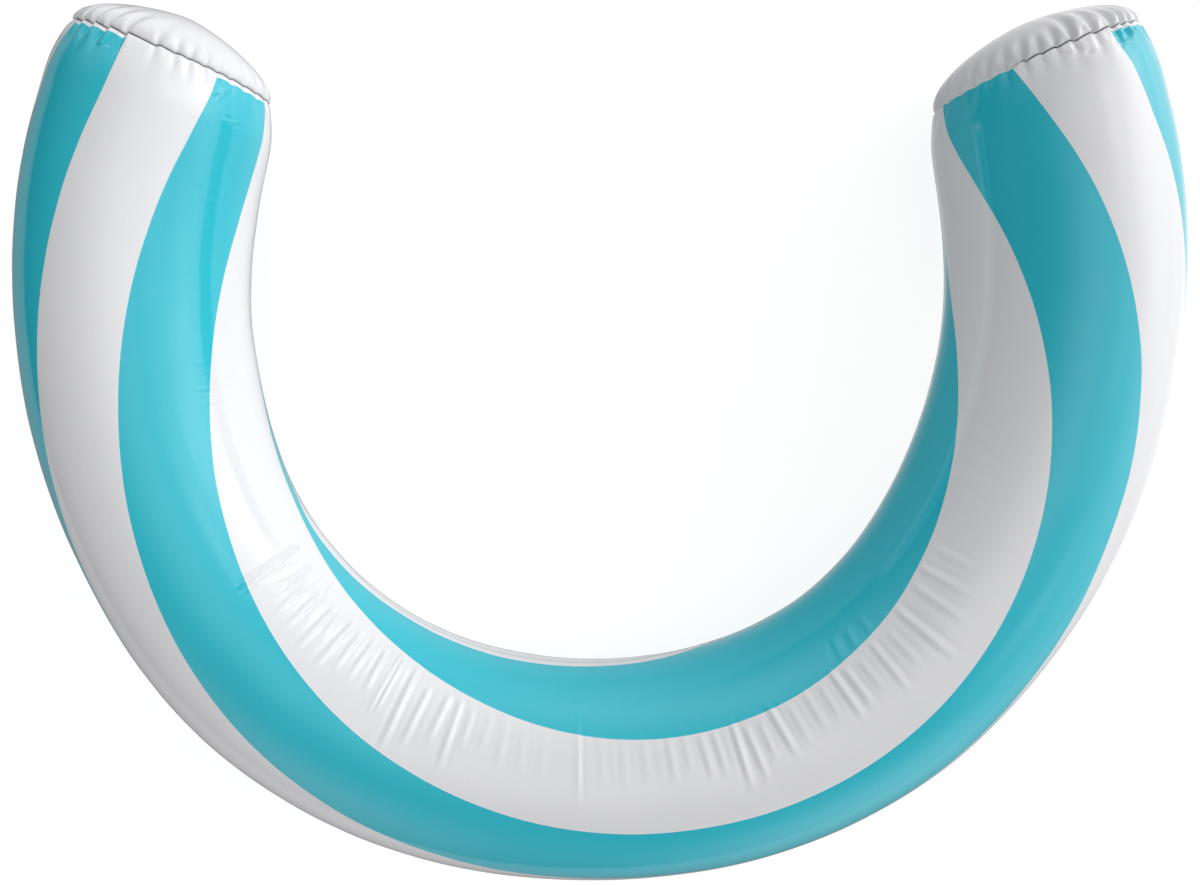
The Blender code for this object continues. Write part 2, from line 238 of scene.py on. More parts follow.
# ---------------------------------------------------------------- creases in the film
# (turn a, round a, turn b, round b, height mm, half width mm, kind). The bend squeezes
# the film on its inner side, so most of them run straight round the tube.
RIDGE, HAIRPIN, FOLD, DENT = "ridge", "hairpin", "fold", "dent"
CREASES = [
    # the long double crease where the wrinkles begin, looped at its inner end
    (-48.4, 124.0, -48.6, 158.5, 1.32, 1.4, HAIRPIN),
    (-48.0, 120.0, -48.1, 128.0, 0.73, 1.9, RIDGE),
    # glossy bulges on the left of the bend
    (-47.3, 131.0, -47.6, 149.0, 0.92, 2.1, RIDGE),
    (-45.9, 134.0, -45.2, 146.5, 0.67, 1.9, RIDGE),
    (-44.7, 135.0, -45.0, 157.5, 1.09, 2.0, HAIRPIN),
    (-43.0, 130.0, -43.3, 149.5, 1.22, 2.5, RIDGE),
    (-42.4, 153.0, -42.4, 161.0, 0.55, 1.9, RIDGE),
    (-40.8, 129.0, -40.9, 151.0, 1.46, 2.6, RIDGE),
    (-40.4, 153.0, -40.6, 162.0, 0.67, 2.1, RIDGE),
    (-37.9, 126.0, -37.9, 150.0, 1.59, 2.7, RIDGE),
    (-36.5, 135.0, -36.9, 150.0, 0.92, 1.9, RIDGE),
    (-34.7, 125.0, -34.4, 151.0, 1.77, 2.8, RIDGE),
    (-32.6, 127.0, -32.6, 148.0, 1.46, 2.5, RIDGE),
    (-30.5, 127.0, -30.4, 149.0, 1.52, 2.6, RIDGE),
    (-27.9, 126.0, -28.2, 147.5, 1.59, 2.6, RIDGE),
    (-25.8, 117.0, -25.8, 149.0, 1.26, 2.2, HAIRPIN),
    (-23.0, 108.0, -23.1, 147.0, 1.65, 2.8, RIDGE),
    (-20.9, 111.0, -20.5, 139.0, 1.40, 2.8, RIDGE),
    (-18.2, 116.0, -17.6, 139.0, 1.28, 3.0, RIDGE),
    (-16.1, 108.0, -15.9, 138.0, 1.16, 2.8, RIDGE),
    (-14.3, 118.0, -14.1, 135.0, 0.85, 2.8, RIDGE),
    (-12.0, 116.0, -11.6, 134.0, 0.60, 3.4, RIDGE),
    (-9.6, 112.0, -9.5, 133.0, 0.50, 3.2, RIDGE),
    (-7.2, 112.0, -7.0, 130.0, 0.28, 3.4, RIDGE),
    (-4.6, 110.0, -4.4, 130.0, 0.22, 3.4, RIDGE),
    # the one sharp fold at the middle, which runs up through the print edge
    (-0.1, 101.0, -0.35, 141.0, 0.62, 2.2, FOLD),
    (2.6, 106.0, 2.4, 128.0, 0.25, 3.2, RIDGE),
    (5.2, 106.0, 5.2, 127.0, 0.28, 3.4, RIDGE),
    (7.8, 106.0, 7.7, 126.0, 0.30, 3.4, RIDGE),
    (10.8, 105.0, 10.8, 126.0, 0.45, 3.0, RIDGE),
    (12.8, 108.0, 12.7, 124.0, 0.35, 2.8, RIDGE),
    (15.0, 103.0, 14.7, 123.0, 0.62, 3.0, RIDGE),
    (16.6, 104.0, 16.4, 123.0, 0.50, 2.6, RIDGE),
    (18.8, 95.0, 18.9, 125.0, 0.95, 2.8, RIDGE),
    (20.7, 96.0, 20.4, 120.0, 0.80, 2.8, RIDGE),
    (22.4, 102.0, 22.2, 120.0, 0.50, 2.6, RIDGE),
    (24.6, 102.0, 23.9, 125.5, 1.05, 3.0, RIDGE),
    (26.6, 104.0, 26.3, 122.0, 0.45, 3.0, RIDGE),
    (29.0, 105.0, 28.7, 124.0, 0.55, 3.2, RIDGE),
    (31.0, 107.0, 30.9, 123.0, 0.45, 2.8, RIDGE),
    (33.1, 102.0, 33.0, 126.0, 0.95, 2.9, RIDGE),
    (34.8, 104.0, 34.7, 123.0, 0.75, 2.8, RIDGE),
    (36.9, 106.0, 36.8, 122.0, 0.45, 3.0, RIDGE),
    (39.0, 100.0, 39.3, 125.0, 0.70, 3.0, RIDGE),
    (41.8, 104.0, 41.9, 123.0, 0.45, 3.2, RIDGE),
    (45.0, 97.0, 44.7, 128.0, 0.85, 3.4, RIDGE),
    (48.8, 104.0, 48.5, 129.0, 0.60, 3.4, RIDGE),
    (51.6, 108.0, 50.9, 133.0, 0.62, 3.4, RIDGE),
    (54.4, 112.0, 54.0, 131.0, 0.35, 3.4, RIDGE),
    # faint ripples in the turquoise inside it, and on the right arm
    (35.2, 127.0, 35.8, 139.0, 0.38, 3.4, RIDGE),
    (37.5, 127.0, 38.0, 138.0, 0.34, 3.4, RIDGE),
    (40.2, 128.0, 40.4, 138.0, 0.26, 3.4, RIDGE),
    (64.0, 124.0, 64.0, 142.0, 0.20, 3.6, RIDGE),
    (66.8, 126.0, 66.8, 144.0, 0.20, 3.6, RIDGE),
    (69.8, 128.0, 69.8, 146.0, 0.22, 3.6, RIDGE),
    (73.0, 130.0, 73.0, 148.0, 0.20, 3.6, RIDGE),
    (76.4, 132.0, 76.4, 150.0, 0.16, 3.6, RIDGE),
    # small nicks along the print edge of the left arm
    (-77.9, 139.0, -77.8, 147.5, 0.30, 1.5, RIDGE),
    (-77.5, 142.5, -76.6, 148.5, 0.34, 1.3, FOLD),
    (-74.3, 138.5, -74.1, 146.5, 0.34, 1.6, RIDGE),
    (-73.4, 140.0, -73.3, 146.5, 0.28, 1.4, RIDGE),
    (-72.2, 141.5, -72.2, 145.5, 0.36, 1.3, FOLD),
    (-71.6, 145.0, -71.1, 151.0, 0.24, 1.5, RIDGE),
    (-69.8, 144.0, -69.7, 149.0, 0.22, 1.5, RIDGE),
    (-68.4, 142.5, -68.3, 147.0, 0.16, 1.5, RIDGE),
    # crow's feet under the left rim
    (-115.8, 149.6, -115.2, 149.4, 0.55, 1.3, RIDGE),
    (-115.2, 149.4, -114.7, 146.0, 0.60, 1.3, RIDGE),
    (-114.8, 146.6, -113.1, 141.4, 0.60, 1.3, RIDGE),
    (-113.6, 137.0, -114.5, 145.5, 0.40, 1.4, RIDGE),
    (-111.2, 147.6, -112.0, 158.0, 0.42, 1.2, RIDGE),
    (-111.6, 147.0, -111.3, 149.0, 0.40, 1.2, RIDGE),
    (-100.2, 144.0, -100.6, 151.0, 0.16, 1.4, RIDGE),
    # the kink under the right rim, which catches the key light
    (115.9, 62.0, 116.1, 58.5, 1.30, 4.2, DENT),
    (115.6, 56.8, 114.7, 62.5, 0.85, 1.6, RIDGE),
    (114.7, 62.5, 114.7, 72.0, 0.80, 1.9, RIDGE),
    (115.6, 57.6, 114.5, 52.6, 0.55, 1.1, RIDGE),
    (115.7, 50.0, 114.6, 47.0, 0.50, 1.1, RIDGE),
    (115.2, 88.5, 114.6, 88.0, 1.10, 3.6, DENT),
    (115.9, 95.6, 115.3, 95.2, 0.80, 2.2, RIDGE),
    # and the bright pucker under the left rim
    (-115.4, 79.5, -113.9, 79.0, 0.95, 3.0, RIDGE),
    (-115.4, 84.6, -114.0, 84.0, 0.80, 2.4, DENT),
    (-115.4, 65.5, -114.2, 65.0, 0.70, 2.8, DENT),
]

# The under side of the bend is squeezed as much, though nothing in view shows it.
rng = np.random.default_rng(7)
turn = -52.0
while turn < 52.0:
    size = 1.0 if turn < -8 else 0.7
    low = 226.0 + rng.uniform(-4, 4)
    length = rng.uniform(18, 32)
    CREASES.append((turn, low, turn + rng.uniform(-0.4, 0.4), low + length,
                    size * rng.uniform(0.55, 1.15), rng.uniform(2.6, 3.5), RIDGE))
    turn += rng.uniform(1.9, 3.2)


def crease_field(t, phi):
    """Outward move, in metres, for turns t (radians) and angles phi (degrees)."""
    out = np.zeros_like(t)
    td = t / RAD
    for ta, pa, tb, pb, high, width, kind in CREASES:
        mid_t, mid_p = (ta + tb) / 2, (pa + pb) / 2
        pick = np.nonzero((np.abs(td - mid_t) < abs(ta - tb) / 2 + 5.0)
                          & (np.abs(wrap(phi - mid_p)) < abs(pa - pb) / 2 + 14.0))[0]
        if not len(pick):
            continue
        r = float(tube_radius(np.array(mid_t * RAD)))
        reach = float(centre_radius(np.array(mid_t * RAD))) + r * math.cos(mid_p * RAD)
        x = (td[pick] - ta) * RAD * reach * 1000.0
        y = wrap(phi[pick] - pa) * RAD * r * 1000.0
        bx, by = (tb - ta) * RAD * reach * 1000.0, (pb - pa) * RAD * r * 1000.0
        long = math.hypot(bx, by) or 1e-6
        ux, uy = bx / long, by / long
        a = x * ux + y * uy                       # along
        c = x * uy - y * ux                       # across
        if kind == HAIRPIN:
            half = 2.6
            over = np.clip(a - (long - half), 0.0, None)
            d = np.hypot(over, c) - half
            f = np.exp(-(d / width) ** 2) - 0.45 * np.exp(-((np.hypot(over, c)) / (half * 0.8)) ** 2)
            keep = step(-0.10 * long, 0.22 * long, a) * (a < long + 14.0)
        else:
            # it dies away slowly at its outer end, and quickly at the inner one
            end = max(2.0, 0.34 * long)
            short = max(1.6, 0.17 * long)
            keep = step(-0.8 * end, end, a) * step(long + 0.6 * short, long - short, a)
            q = c / width
            if kind == RIDGE:
                f = np.exp(-q ** 2) - 0.42 * np.exp(-((np.abs(q) - 2.0) / 0.9) ** 2)
            elif kind == FOLD:
                f = np.exp(-(q / np.where(q > 0, 0.75, 1.9)) ** 2) - 0.40 * np.exp(-((q - 1.9) / 0.9) ** 2)
            else:
                f = -np.exp(-q ** 2) + 0.25 * np.exp(-((np.abs(q) - 2.0) / 0.9) ** 2)
        out[pick] += high * 0.001 * f * keep
    return out


def film_waves(t, phi):
    """The slow unevenness of a film under pressure, a tenth of a millimetre or so."""
    a = t * BEND_RADIUS * 1000.0
    b = phi * RAD
    w = 0.10 * np.sin(a / 31.0 + 1.7 * np.sin(2 * b + 0.4)) * np.sin(3 * b + 0.6)
    w += 0.07 * np.sin(a / 17.0 + 2.1 * np.cos(3 * b) + 1.0)
    w += 0.05 * np.sin(a / 11.0 + 5 * b + 2.0) * np.sin(a / 47.0)
    return w * 0.001


# ---------------------------------------------------------------- gathers at the rims
# Each end's film is gathered into its weld ring by small knife pleats: where round the
# ring, how strong, and how far its crease runs along the tube and up the dome, in mm.
def pleats(side):
    if side == 0:
        seen = [(18, 0.6, 14, 20), (29, 0.8, 16, 24), (41, 0.9, 15, 26), (56, 1.0, 16, 30), (66.5, 1.15, 17, 30),
                (77.5, 1.1, 15, 34), (89, 1.2, 16, 26), (106.5, 0.75, 16, 20), (117, 0.45, 12, 14),
                (124.5, 0.40, 11, 12), (133, 0.35, 10, 14), (141, 0.45, 14, 12), (150, 0.5, 12, 12),
                (160, 0.4, 10, 10), (172, 0.45, 10, 12), (186, 0.5, 12, 14), (199, 0.5, 12, 14)]
        first, last = 199, 378
    else:
        seen = [(17, 0.6, 14, 22), (29, 0.7, 16, 26), (41, 0.9, 15, 32), (53, 0.8, 14, 34), (61, 1.0, 16, 36),
                (69, 1.0, 14, 34), (81, 0.9, 14, 26), (93, 1.2, 16, 30), (102, 0.6, 12, 20), (110, 0.55, 12, 16),
                (118.5, 1.05, 10, 16), (128, 0.5, 10, 18), (138, 0.45, 10, 18), (148, 0.45, 12, 20),
                (158, 0.4, 12, 20), (170, 0.45, 10, 18), (184, 0.5, 12, 16), (198, 0.5, 12, 14)]
        first, last = 198, 377
    rest = np.random.default_rng(31 + side)
    a = first + 11.0
    while a < last - 9.0:
        seen.append((a % 360.0, rest.uniform(0.4, 1.0), rest.uniform(9, 17), rest.uniform(12, 28)))
        a += rest.uniform(9.5, 15.0)
    return sorted(seen)


PLEATS = [pleats(0), pleats(1)]
ROUND = np.arange(0.0, 360.0, 0.1)


def blur(table, sigma):
    k = np.arange(-60, 61) * 0.1
    w = np.exp(-(k / sigma) ** 2 / 2)
    w /= w.sum()
    wide = np.concatenate([table[-60:], table, table[:60]])
    return np.convolve(wide, w, "valid")


def saw_table(side):
    """Runs from +1 down to -1 between pleats, and jumps back at each of them."""
    marks = PLEATS[side]
    out = np.zeros_like(ROUND)
    for i, (a, strong, _, _) in enumerate(marks):
        b, strong_b = marks[(i + 1) % len(marks)][0], marks[(i + 1) % len(marks)][1]
        if b <= a:
            b += 360.0
        x = ((ROUND - a) % 360.0) / (b - a)
        hit = x < 1.0
        xs = x[hit]
        out[hit] = (1 - 2 * xs) * (strong * (1 - xs) + strong_b * xs)
    return blur(out, 0.45)


def puff_table(side):
    """0 at a pleat, 1 in the middle of the film between two."""
    marks = PLEATS[side]
    out = np.zeros_like(ROUND)
    for i, (a, _, _, _) in enumerate(marks):
        b = marks[(i + 1) % len(marks)][0]
        if b <= a:
            b += 360.0
        x = ((ROUND - a) % 360.0) / (b - a)
        hit = x < 1.0
        out[hit] = np.sin(math.pi * x[hit]) ** 0.8
    return blur(out, 0.5)


SAW = [saw_table(0), saw_table(1)]
PUFF = [puff_table(0), puff_table(1)]


def from_table(table, phi):
    return np.interp(np.asarray(phi) % 360.0, np.append(ROUND, 360.0), np.append(table, table[0]))


def gather_field(side, phi, s, dome):
    """Outward move in metres of film s metres from the rim, on the tube or the dome."""
    out = np.zeros_like(phi)
    mm = s * 1000.0
    r = RIM[side] * 1000.0
    turned = 1.0 if side == 0 else -1.0
    for a, strong, along, up in PLEATS[side]:
        reach = up * (1.1, 1.25)[side] if dome else along
        skew = turned * (0.10 if dome else -0.05)
        off = wrap(phi - a) * RAD * r - skew * mm
        pick = np.nonzero((np.abs(off) < 26.0) & (mm < reach * 3.2))[0]
        if not len(pick):
            continue
        o, m = off[pick], mm[pick]
        width = 1.5 + (0.13 if dome else 0.11) * m
        fade = np.exp(-(m / reach) ** 1.6)
        deep = strong * ((1.9, 2.5)[side] if dome else 1.35)
        f = -np.exp(-(o / width) ** 2) + 0.45 * np.exp(-((np.abs(o) - 2.4 * width) / (1.2 * width)) ** 2)
        # a knife pleat: the film stands higher on one side than on the other
        f += turned * 0.35 * np.tanh(o / width) * np.exp(-(o / (3.2 * width)) ** 2)
        out[pick] += deep * f * fade
    out += 0.7 * (from_table(PUFF[side], phi) - 0.6) * np.exp(-(mm / 14.0) ** 1.5)
    return out * 0.001


def crevice(side, phi, mm):
    """How far the film turns inwards next to the weld, in mm, mm millimetres from it."""
    # the right weld lies flatter on its inner side
    shut = 1.0 - (0.75 * np.exp(-(wrap(phi - 160.0) / 42.0) ** 6) if side else 0.0)
    deep = 1.5 * np.clip(1.0 - mm / 2.2, 0.0, 1.0) ** 1.7 * shut
    return deep + 0.7 * (0.4 + 0.6 * shut) * np.clip(1.0 - mm / 6.5, 0.0, 1.0) ** 2


def rim_shift(side, phi, s):
    """Move along the end's axis, towards the dome, of film s metres from the rim."""
    mm = s * 1000.0
    saw = from_table(SAW[side], phi)
    puff = from_table(PUFF[side], phi)
    seam = 1.35 * saw + 0.5 * (puff - 0.6)
    band = 0.75 * saw + 1.5 * (puff - 0.75)
    near = step(0.0, 5.0, mm)
    return (seam * (1 - near) + band * near) * np.exp(-(np.clip(mm - 5.0, 0, None) / 11.0) ** 1.5) * 0.001


# ---------------------------------------------------------------- the tube's points
def tube_points(t, phi, curl=None):
    """World points for turns t (radians) and angles phi (degrees)."""
    side = (t > 0).astype(int)
    s = np.where(side == 1, END_TURN[1] - t, END_TURN[0] + t) * np.where(side == 1, SPEED[1], SPEED[0])
    s = np.clip(s, 0.0, None)
    centre, along, out = tube_frame(t)
    axis = along * np.where(t > 0, 1.0, -1.0)[:, None]
    r = tube_radius(t)
    # it flattens a little where it lies
    off = np.abs(wrap(phi - 270.0))
    flat = np.where(off < 7.5, 1.0 / np.cos(np.minimum(off, 7.5) * RAD), 1.0 + 0.00863 * (1 - step(7.5, 24.0, off)))
    rest = step(0.35, 0.6, s / 0.1)
    r = r * (1.0 + (flat - 1.0) * rest)
    resting = rest * (1 - step(9.0, 22.0, off))
    r = r + (crease_field(t, phi) + film_waves(t, phi) * step(0.0, 0.03, s)) * (1 - resting) + silhouette(t, phi)
    slide = np.zeros_like(r)
    for k in (0, 1):
        near = np.nonzero((side == k) & (s < 0.075))[0]
        if len(near):
            r[near] += gather_field(k, phi[near], s[near], False)
            r[near] -= crevice(k, phi[near], s[near] * 1000.0) * 0.001
            slide[near] = rim_shift(k, phi[near], s[near])
    if curl is not None:
        r = r - curl * 0.0045
        slide = slide - curl * 0.0030
    a = phi * RAD
    p = centre + out * (r * np.cos(a))[:, None] + axis * slide[:, None]
    p[:, 2] += TUBE_RADIUS + r * np.sin(a)
    return p


def columns():
    """Turns of the columns, the number of rows' splits in each, and which are curled in."""
    def near_rim(k):
        s = [0.0, 0.0005, 0.0010, 0.0016, 0.0023, 0.0031, 0.0040, 0.0050, 0.0061]
        while s[-1] < 0.034:
            s.append(s[-1] + 0.00135)
        fine = len(s)
        while s[-1] < 0.060:
            s.append(s[-1] + 0.0019)
        turns = [END_TURN[k] - x / SPEED[k] for x in s]
        return turns, [4] * fine + [2] * (len(s) - fine)

    left, split_l = near_rim(0)
    right, split_r = near_rim(1)
    mid, t = [], -left[-1]
    while True:
        deg = t / RAD
        if -51 < deg < 51:
            d = 0.0024
        elif -56 < deg < 57:
            d = 0.0031
        elif -82 < deg < -64 or -62 < deg < 64:
            d = 0.0048
        else:
            d = 0.0085
        t += d
        if t > right[-1] - 0.003:
            break
        mid.append(t)
    turns = [-x for x in left] + mid + right[::-1]
    split = split_l + [1] * len(mid) + split_r[::-1]
    curl = [0.0] * len(turns)
    turns = [turns[0]] + turns + [turns[-1]]
    split = [4] + split + [4]
    curl = [1.0] + curl + [1.0]
    return np.array(turns), np.array(split), np.array(curl)


def base_rows():
    """Angles from the stripes' zero edge, in degrees. Every stripe edge is a row."""
    fine = list(np.arange(-13.5, 54.0 - 0.1, 2.25))
    mid = list(np.arange(54.0, 120.0 - 0.1, 3.0))
    rest = list(np.arange(120.0, 345.0 - 0.1, 5.0))
    return np.array(fine + mid + rest)


ROWS = base_rows()
N_ROWS = len(ROWS)


def split_rows(n):
    nxt = np.append(ROWS[1:], ROWS[0] + 360.0)
    parts = [ROWS + (nxt - ROWS) * k / n for k in range(n)]
    return np.stack(parts, 1).ravel()


turns, splits, curls = columns()
nominal = [split_rows(n) for n in splits]
phis = [drifted(psi, t) + float(stripe_zero(np.array(t))) for psi, t in zip(nominal, turns)]
starts = np.concatenate([[0], np.cumsum([len(p) for p in phis])])[:-1]

# The lines that cross the stripes: the two long welds, and where each panel's print stops.
BORDER = 2.7                                # degrees, about 5 mm, of bare film by the outer weld
BACK_BORDER = 12.0                          # and on the back panel by the inner one
seam_at = at_turn(SEAM_TABLE, turns)
LINES = {
    "outer": np.full(len(turns), OUTER_SEAM),
    "inner": seam_at,
    "outer_front": np.full(len(turns), OUTER_SEAM + BORDER),
    "outer_back": np.full(len(turns), OUTER_SEAM - BORDER),
    "inner_front": at_turn(PRINT_TABLE, turns),
    "inner_back": seam_at + BACK_BORDER,
}


def follow(target, taken):
    """Which row of each column carries a line, moving one row at most per column."""
    at = np.zeros(len(turns), int)
    mid = len(turns) // 2

    def best(i, options):
        n = len(phis[i])
        free = [o for o in options if all((o - other[i]) % n for other in taken)]
        return min(free, key=lambda o: abs(float(wrap(phis[i][o % n] - target[i])))) % n

    at[mid] = best(mid, range(len(phis[mid])))
    for way in (1, -1):
        i = mid
        while 0 <= i + way < len(turns):
            j = i + way
            n0, n1 = len(phis[i]), len(phis[j])
            base = at[i] * n1 // n0
            at[j] = best(j, [base - 1, base, base + 1]) if n0 == n1 else base
            i = j
    return at


ROW_OF = {}
for name in ("outer", "inner", "outer_front", "outer_back", "inner_front", "inner_back"):
    ROW_OF[name] = follow(LINES[name], list(ROW_OF.values()))


def eased(edge, reach=14):
    """How far a stripe's edge moves in each column, to run smoothly into a line that takes it."""
    took = np.full(len(turns), np.nan)
    for i, n in enumerate(splits):
        for name, at in ROW_OF.items():
            if at[i] == edge * n:
                took[i] = wrap(LINES[name][i] - phis[i][edge * n])
    kept = np.nonzero(~np.isnan(took))[0]
    move = np.zeros(len(turns))
    if len(kept) == 0:
        return move
    for i in np.nonzero(np.isnan(took))[0]:
        left, right = kept[kept < i], kept[kept > i]
        a = i - left[-1] if len(left) else 10 ** 6
        b = right[0] - i if len(right) else 10 ** 6
        for far, other, at in ((a, b, left[-1:]), (b, a, right[:1])):
            if far <= reach:
                move[i] += took[at[0]] * (1.0 - far / (reach + 1.0)) ** 2 * min(1.0, other / (far + other) * 2 if other < 10 ** 6 else 1.0)
    return move


EDGES = {int(k): eased(int(k)) for k in np.nonzero(ROWS % 45.0 == 0)[0]}
for i in range(len(turns)):
    n = len(phis[i])
    held = sorted((int(at[i]), name) for name, at in ROW_OF.items())
    for k, name in held:
        phis[i][k] -= wrap(phis[i][k] - LINES[name][i])
    lines_at = [k for k, _ in held]
    for edge, move in EDGES.items():
        k = edge * splits[i]
        if abs(move[i]) > 0.02 and k not in lines_at:
            # it stays on its own side of the lines next to it
            below = max((j - n * (j > k) for j in lines_at), key=lambda j: j)
            above = min((j + n * (j < k) for j in lines_at), key=lambda j: j)
            low = phis[i][below % n] - 360.0 * (below < 0)
            high = phis[i][above % n] + 360.0 * (above >= n)
            least = min(0.10, 0.3 * (high - low) / (above - below))
            phis[i][k] = np.clip(phis[i][k] + move[i], low + least * (k - below), high - least * (above - k))
            held.append((k, ""))
    held.sort()
    # the rows between two such lines keep their order
    for (low, _), (high, _) in zip(held, held[1:] + [(held[0][0] + n, "")]):
        j = np.arange(low + 1, high)
        lap = j >= n
        base = phis[i][j % n] + 360.0 * lap
        top = phis[i][high % n] + 360.0 * (high >= n)
        least = min(0.10, 0.6 * (top - phis[i][low]) / (high - low))
        phis[i][j % n] = np.clip(base, phis[i][low] + least * (j - low), top - least * (high - j)) - 360.0 * lap

PHI = np.concatenate(phis)
PSI = np.concatenate(nominal)
COUNT = np.array([len(p) for p in phis])
TURN = np.repeat(turns, COUNT)
CURL = np.repeat(curls, COUNT)
POINTS = tube_points(TURN, PHI, CURL)


def surface_normals(t, phi, curl):
    """The surface's own normals: the rows' uneven spacing doesn't show in the gloss."""
    dt, dp = 0.0006, 0.10
    ends = by_side(t, END_TURN) * np.where(t > 0, 1.0, -1.0)
    fore = np.where(t > 0, np.minimum(t + dt, ends), t + dt)
    aft = np.where(t > 0, t - dt, np.maximum(t - dt, ends))
    a = tube_points(fore, phi, curl) - tube_points(aft, phi, curl)
    b = tube_points(t, phi + dp, curl) - tube_points(t, phi - dp, curl)
    n = np.cross(a, b)
    return n / np.linalg.norm(n, axis=1)[:, None]


NORMALS = surface_normals(TURN, PHI, CURL)


def between(phi, low, high):
    """Above 0 between two angles round the tube, below 0 outside, in degrees."""
    mid, half = (low + high) / 2, (high - low) / 2
    return half - np.abs(wrap(phi - mid))


def spread_columns(values):
    return np.repeat(values, COUNT)


WHERE = between(PHI, spread_columns(LINES["outer"]), spread_columns(LINES["inner"]))     # front panel
INK = between(PHI, spread_columns(LINES["outer_front"]), spread_columns(LINES["inner_front"]))
INK_BACK = between(PHI, spread_columns(LINES["inner_back"]), spread_columns(LINES["outer_back"] + 360.0))
for field, names in ((WHERE, ("outer", "inner")), (INK, ("outer_front", "inner_front")),
                     (INK_BACK, ("outer_back", "inner_back"))):
    for name in names:
        field[starts + ROW_OF[name]] = 0.0

# distance along the tube for the film's own coordinates
col_len = np.concatenate([[0.0], np.cumsum(np.linalg.norm(np.diff(centreline(turns), axis=0), axis=1))])
ALONG = np.repeat(col_len, COUNT)

tris, tri_psi, tri_col = [], [], []
quads, quad_psi, quad_col = [], [], []
for i in range(len(turns) - 1):
    a, b = starts[i], starts[i + 1]
    na, nb = COUNT[i], COUNT[i + 1]
    if na == nb:
        j = np.arange(na)
        j2 = (j + 1) % na
        q = np.stack([a + j, b + j, b + j2, a + j2], 1)
        mid = nominal[i] + 0.01
        mixed = np.zeros(na, bool)
        first = np.zeros(na, bool)                     # cut from corner 0 to corner 2
        for field in (WHERE, INK, INK_BACK):
            w = field[q]
            cut = (w.max(1) > 0) & (w.min(1) < 0)
            first |= cut & (w[:, 0] == 0) & (w[:, 2] == 0)
            mixed |= cut
        quads.append(q[~mixed]); quad_psi.append(mid[~mixed]); quad_col.append(np.full((~mixed).sum(), i))
        for k in np.nonzero(mixed)[0]:
            for tri in (((0, 1, 2), (0, 2, 3)) if first[k] else ((1, 2, 3), (1, 3, 0))):
                tris.append([q[k][c] for c in tri]); tri_psi.append(mid[k]); tri_col.append(i)
    else:
        coarse_left = na < nb
        (c, nc), (f, nf) = ((a, na), (b, nb)) if coarse_left else ((b, nb), (a, na))
        coarse = nominal[i] if coarse_left else nominal[i + 1]
        for j in range(nc):
            j2 = (j + 1) % nc
            f0, f1, f2 = f + 2 * j, f + 2 * j + 1, f + (2 * j + 2) % nf
            for tri in ((c + j, f0, f1), (c + j, f1, c + j2), (c + j2, f1, f2)):
                tris.append(list(tri) if coarse_left else [tri[0], tri[2], tri[1]])
                tri_psi.append(coarse[j] + 0.01); tri_col.append(i)
QUADS, QUAD_PSI, QUAD_COL = np.concatenate(quads), np.concatenate(quad_psi), np.concatenate(quad_col)
TRIS, TRI_PSI, TRI_COL = np.array(tris), np.array(tri_psi), np.array(tri_col)

BAND_COLS = 7        # columns from the rim to the end of the print: curl, then 0 to 4 mm


def stripe_slot(psi, col, inked, front):
    """0 for printed turquoise, 1 for bare white film, 2 for the dark grey painted shade of the crevice at the rims."""
    k = np.floor(((psi + 720.0) % 360.0) / 45.0).astype(int)   # 0 is the white stripe on top
    slot = np.where(k % 2 == 0, 1, 0)
    if front:
        slot = np.where((k == 2) | (k == 3), 0, slot)          # its last stripe runs out to the edge
    close = k == 7                                             # it runs nearly to the right weld
    edge = (col < BAND_COLS) | (col >= len(turns) - 1 - np.where(close, 4, BAND_COLS))
    slot = np.where(edge | ~inked, 1, slot)
    pale = (k == 7) | (k == 0)
    # the two columns at each rim, the curled edge and the film next to it, take the dark grey painted shade of the
    # crevice; on the right end, stripes 0 and 7 are left without it
    return np.where((col <= 1) | ((col >= len(turns) - 3) & ~pale), 2, slot)


def film_mesh(name, points, quads, tris, slots_q, slots_t, uv, spread, normals=None):
    """A mesh from numpy arrays, with the film's own coordinates in metres as its map."""
    mesh = bpy.data.meshes.new(name)
    nq, nt = len(quads), len(tris)
    loops = np.concatenate([quads.ravel(), tris.ravel()]) if nt else quads.ravel()
    mesh.vertices.add(len(points))
    mesh.vertices.foreach_set("co", points.astype(np.float32).ravel())
    mesh.loops.add(len(loops))
    mesh.loops.foreach_set("vertex_index", loops.astype(np.int32))
    mesh.polygons.add(nq + nt)
    begin = np.concatenate([np.arange(nq) * 4, nq * 4 + np.arange(nt) * 3])
    mesh.polygons.foreach_set("loop_start", begin.astype(np.int32))
    mesh.polygons.foreach_set("material_index", np.concatenate([slots_q, slots_t]).astype(np.int32))
    mesh.update(calc_edges=True)
    mesh.validate(clean_customdata=False)
    mesh.shade_smooth()
    if normals is not None:
        mesh.normals_split_custom_set_from_vertices(normals.astype(np.float32))
    film = mesh.uv_layers.new(name="film")
    film.data.foreach_set("uv", uv[loops].astype(np.float32).ravel())
    packed = mesh.uv_layers.new(name="OFBake")
    packed.data.foreach_set("uv", spread(loops, nq, nt).astype(np.float32).ravel())
    mesh.uv_layers["film"].active = True
    return mesh


def add_piece(name, mesh, materials, body="float"):
    obj = bpy.data.objects.new(name, mesh)
    bpy.context.scene.collection.objects.link(obj)
    for m in materials:
        mesh.materials.append(m)
    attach(obj, body)
    return obj


# ---------------------------------------------------------------- materials
def new_material(name):
    mat = bpy.data.materials.new(name)
    mat.use_nodes = True
    tree = mat.node_tree
    return mat, tree, tree.nodes["Principled BSDF"]


def link(tree, a, out, b, inp):
    tree.links.new(a.outputs[out], b.inputs[inp])


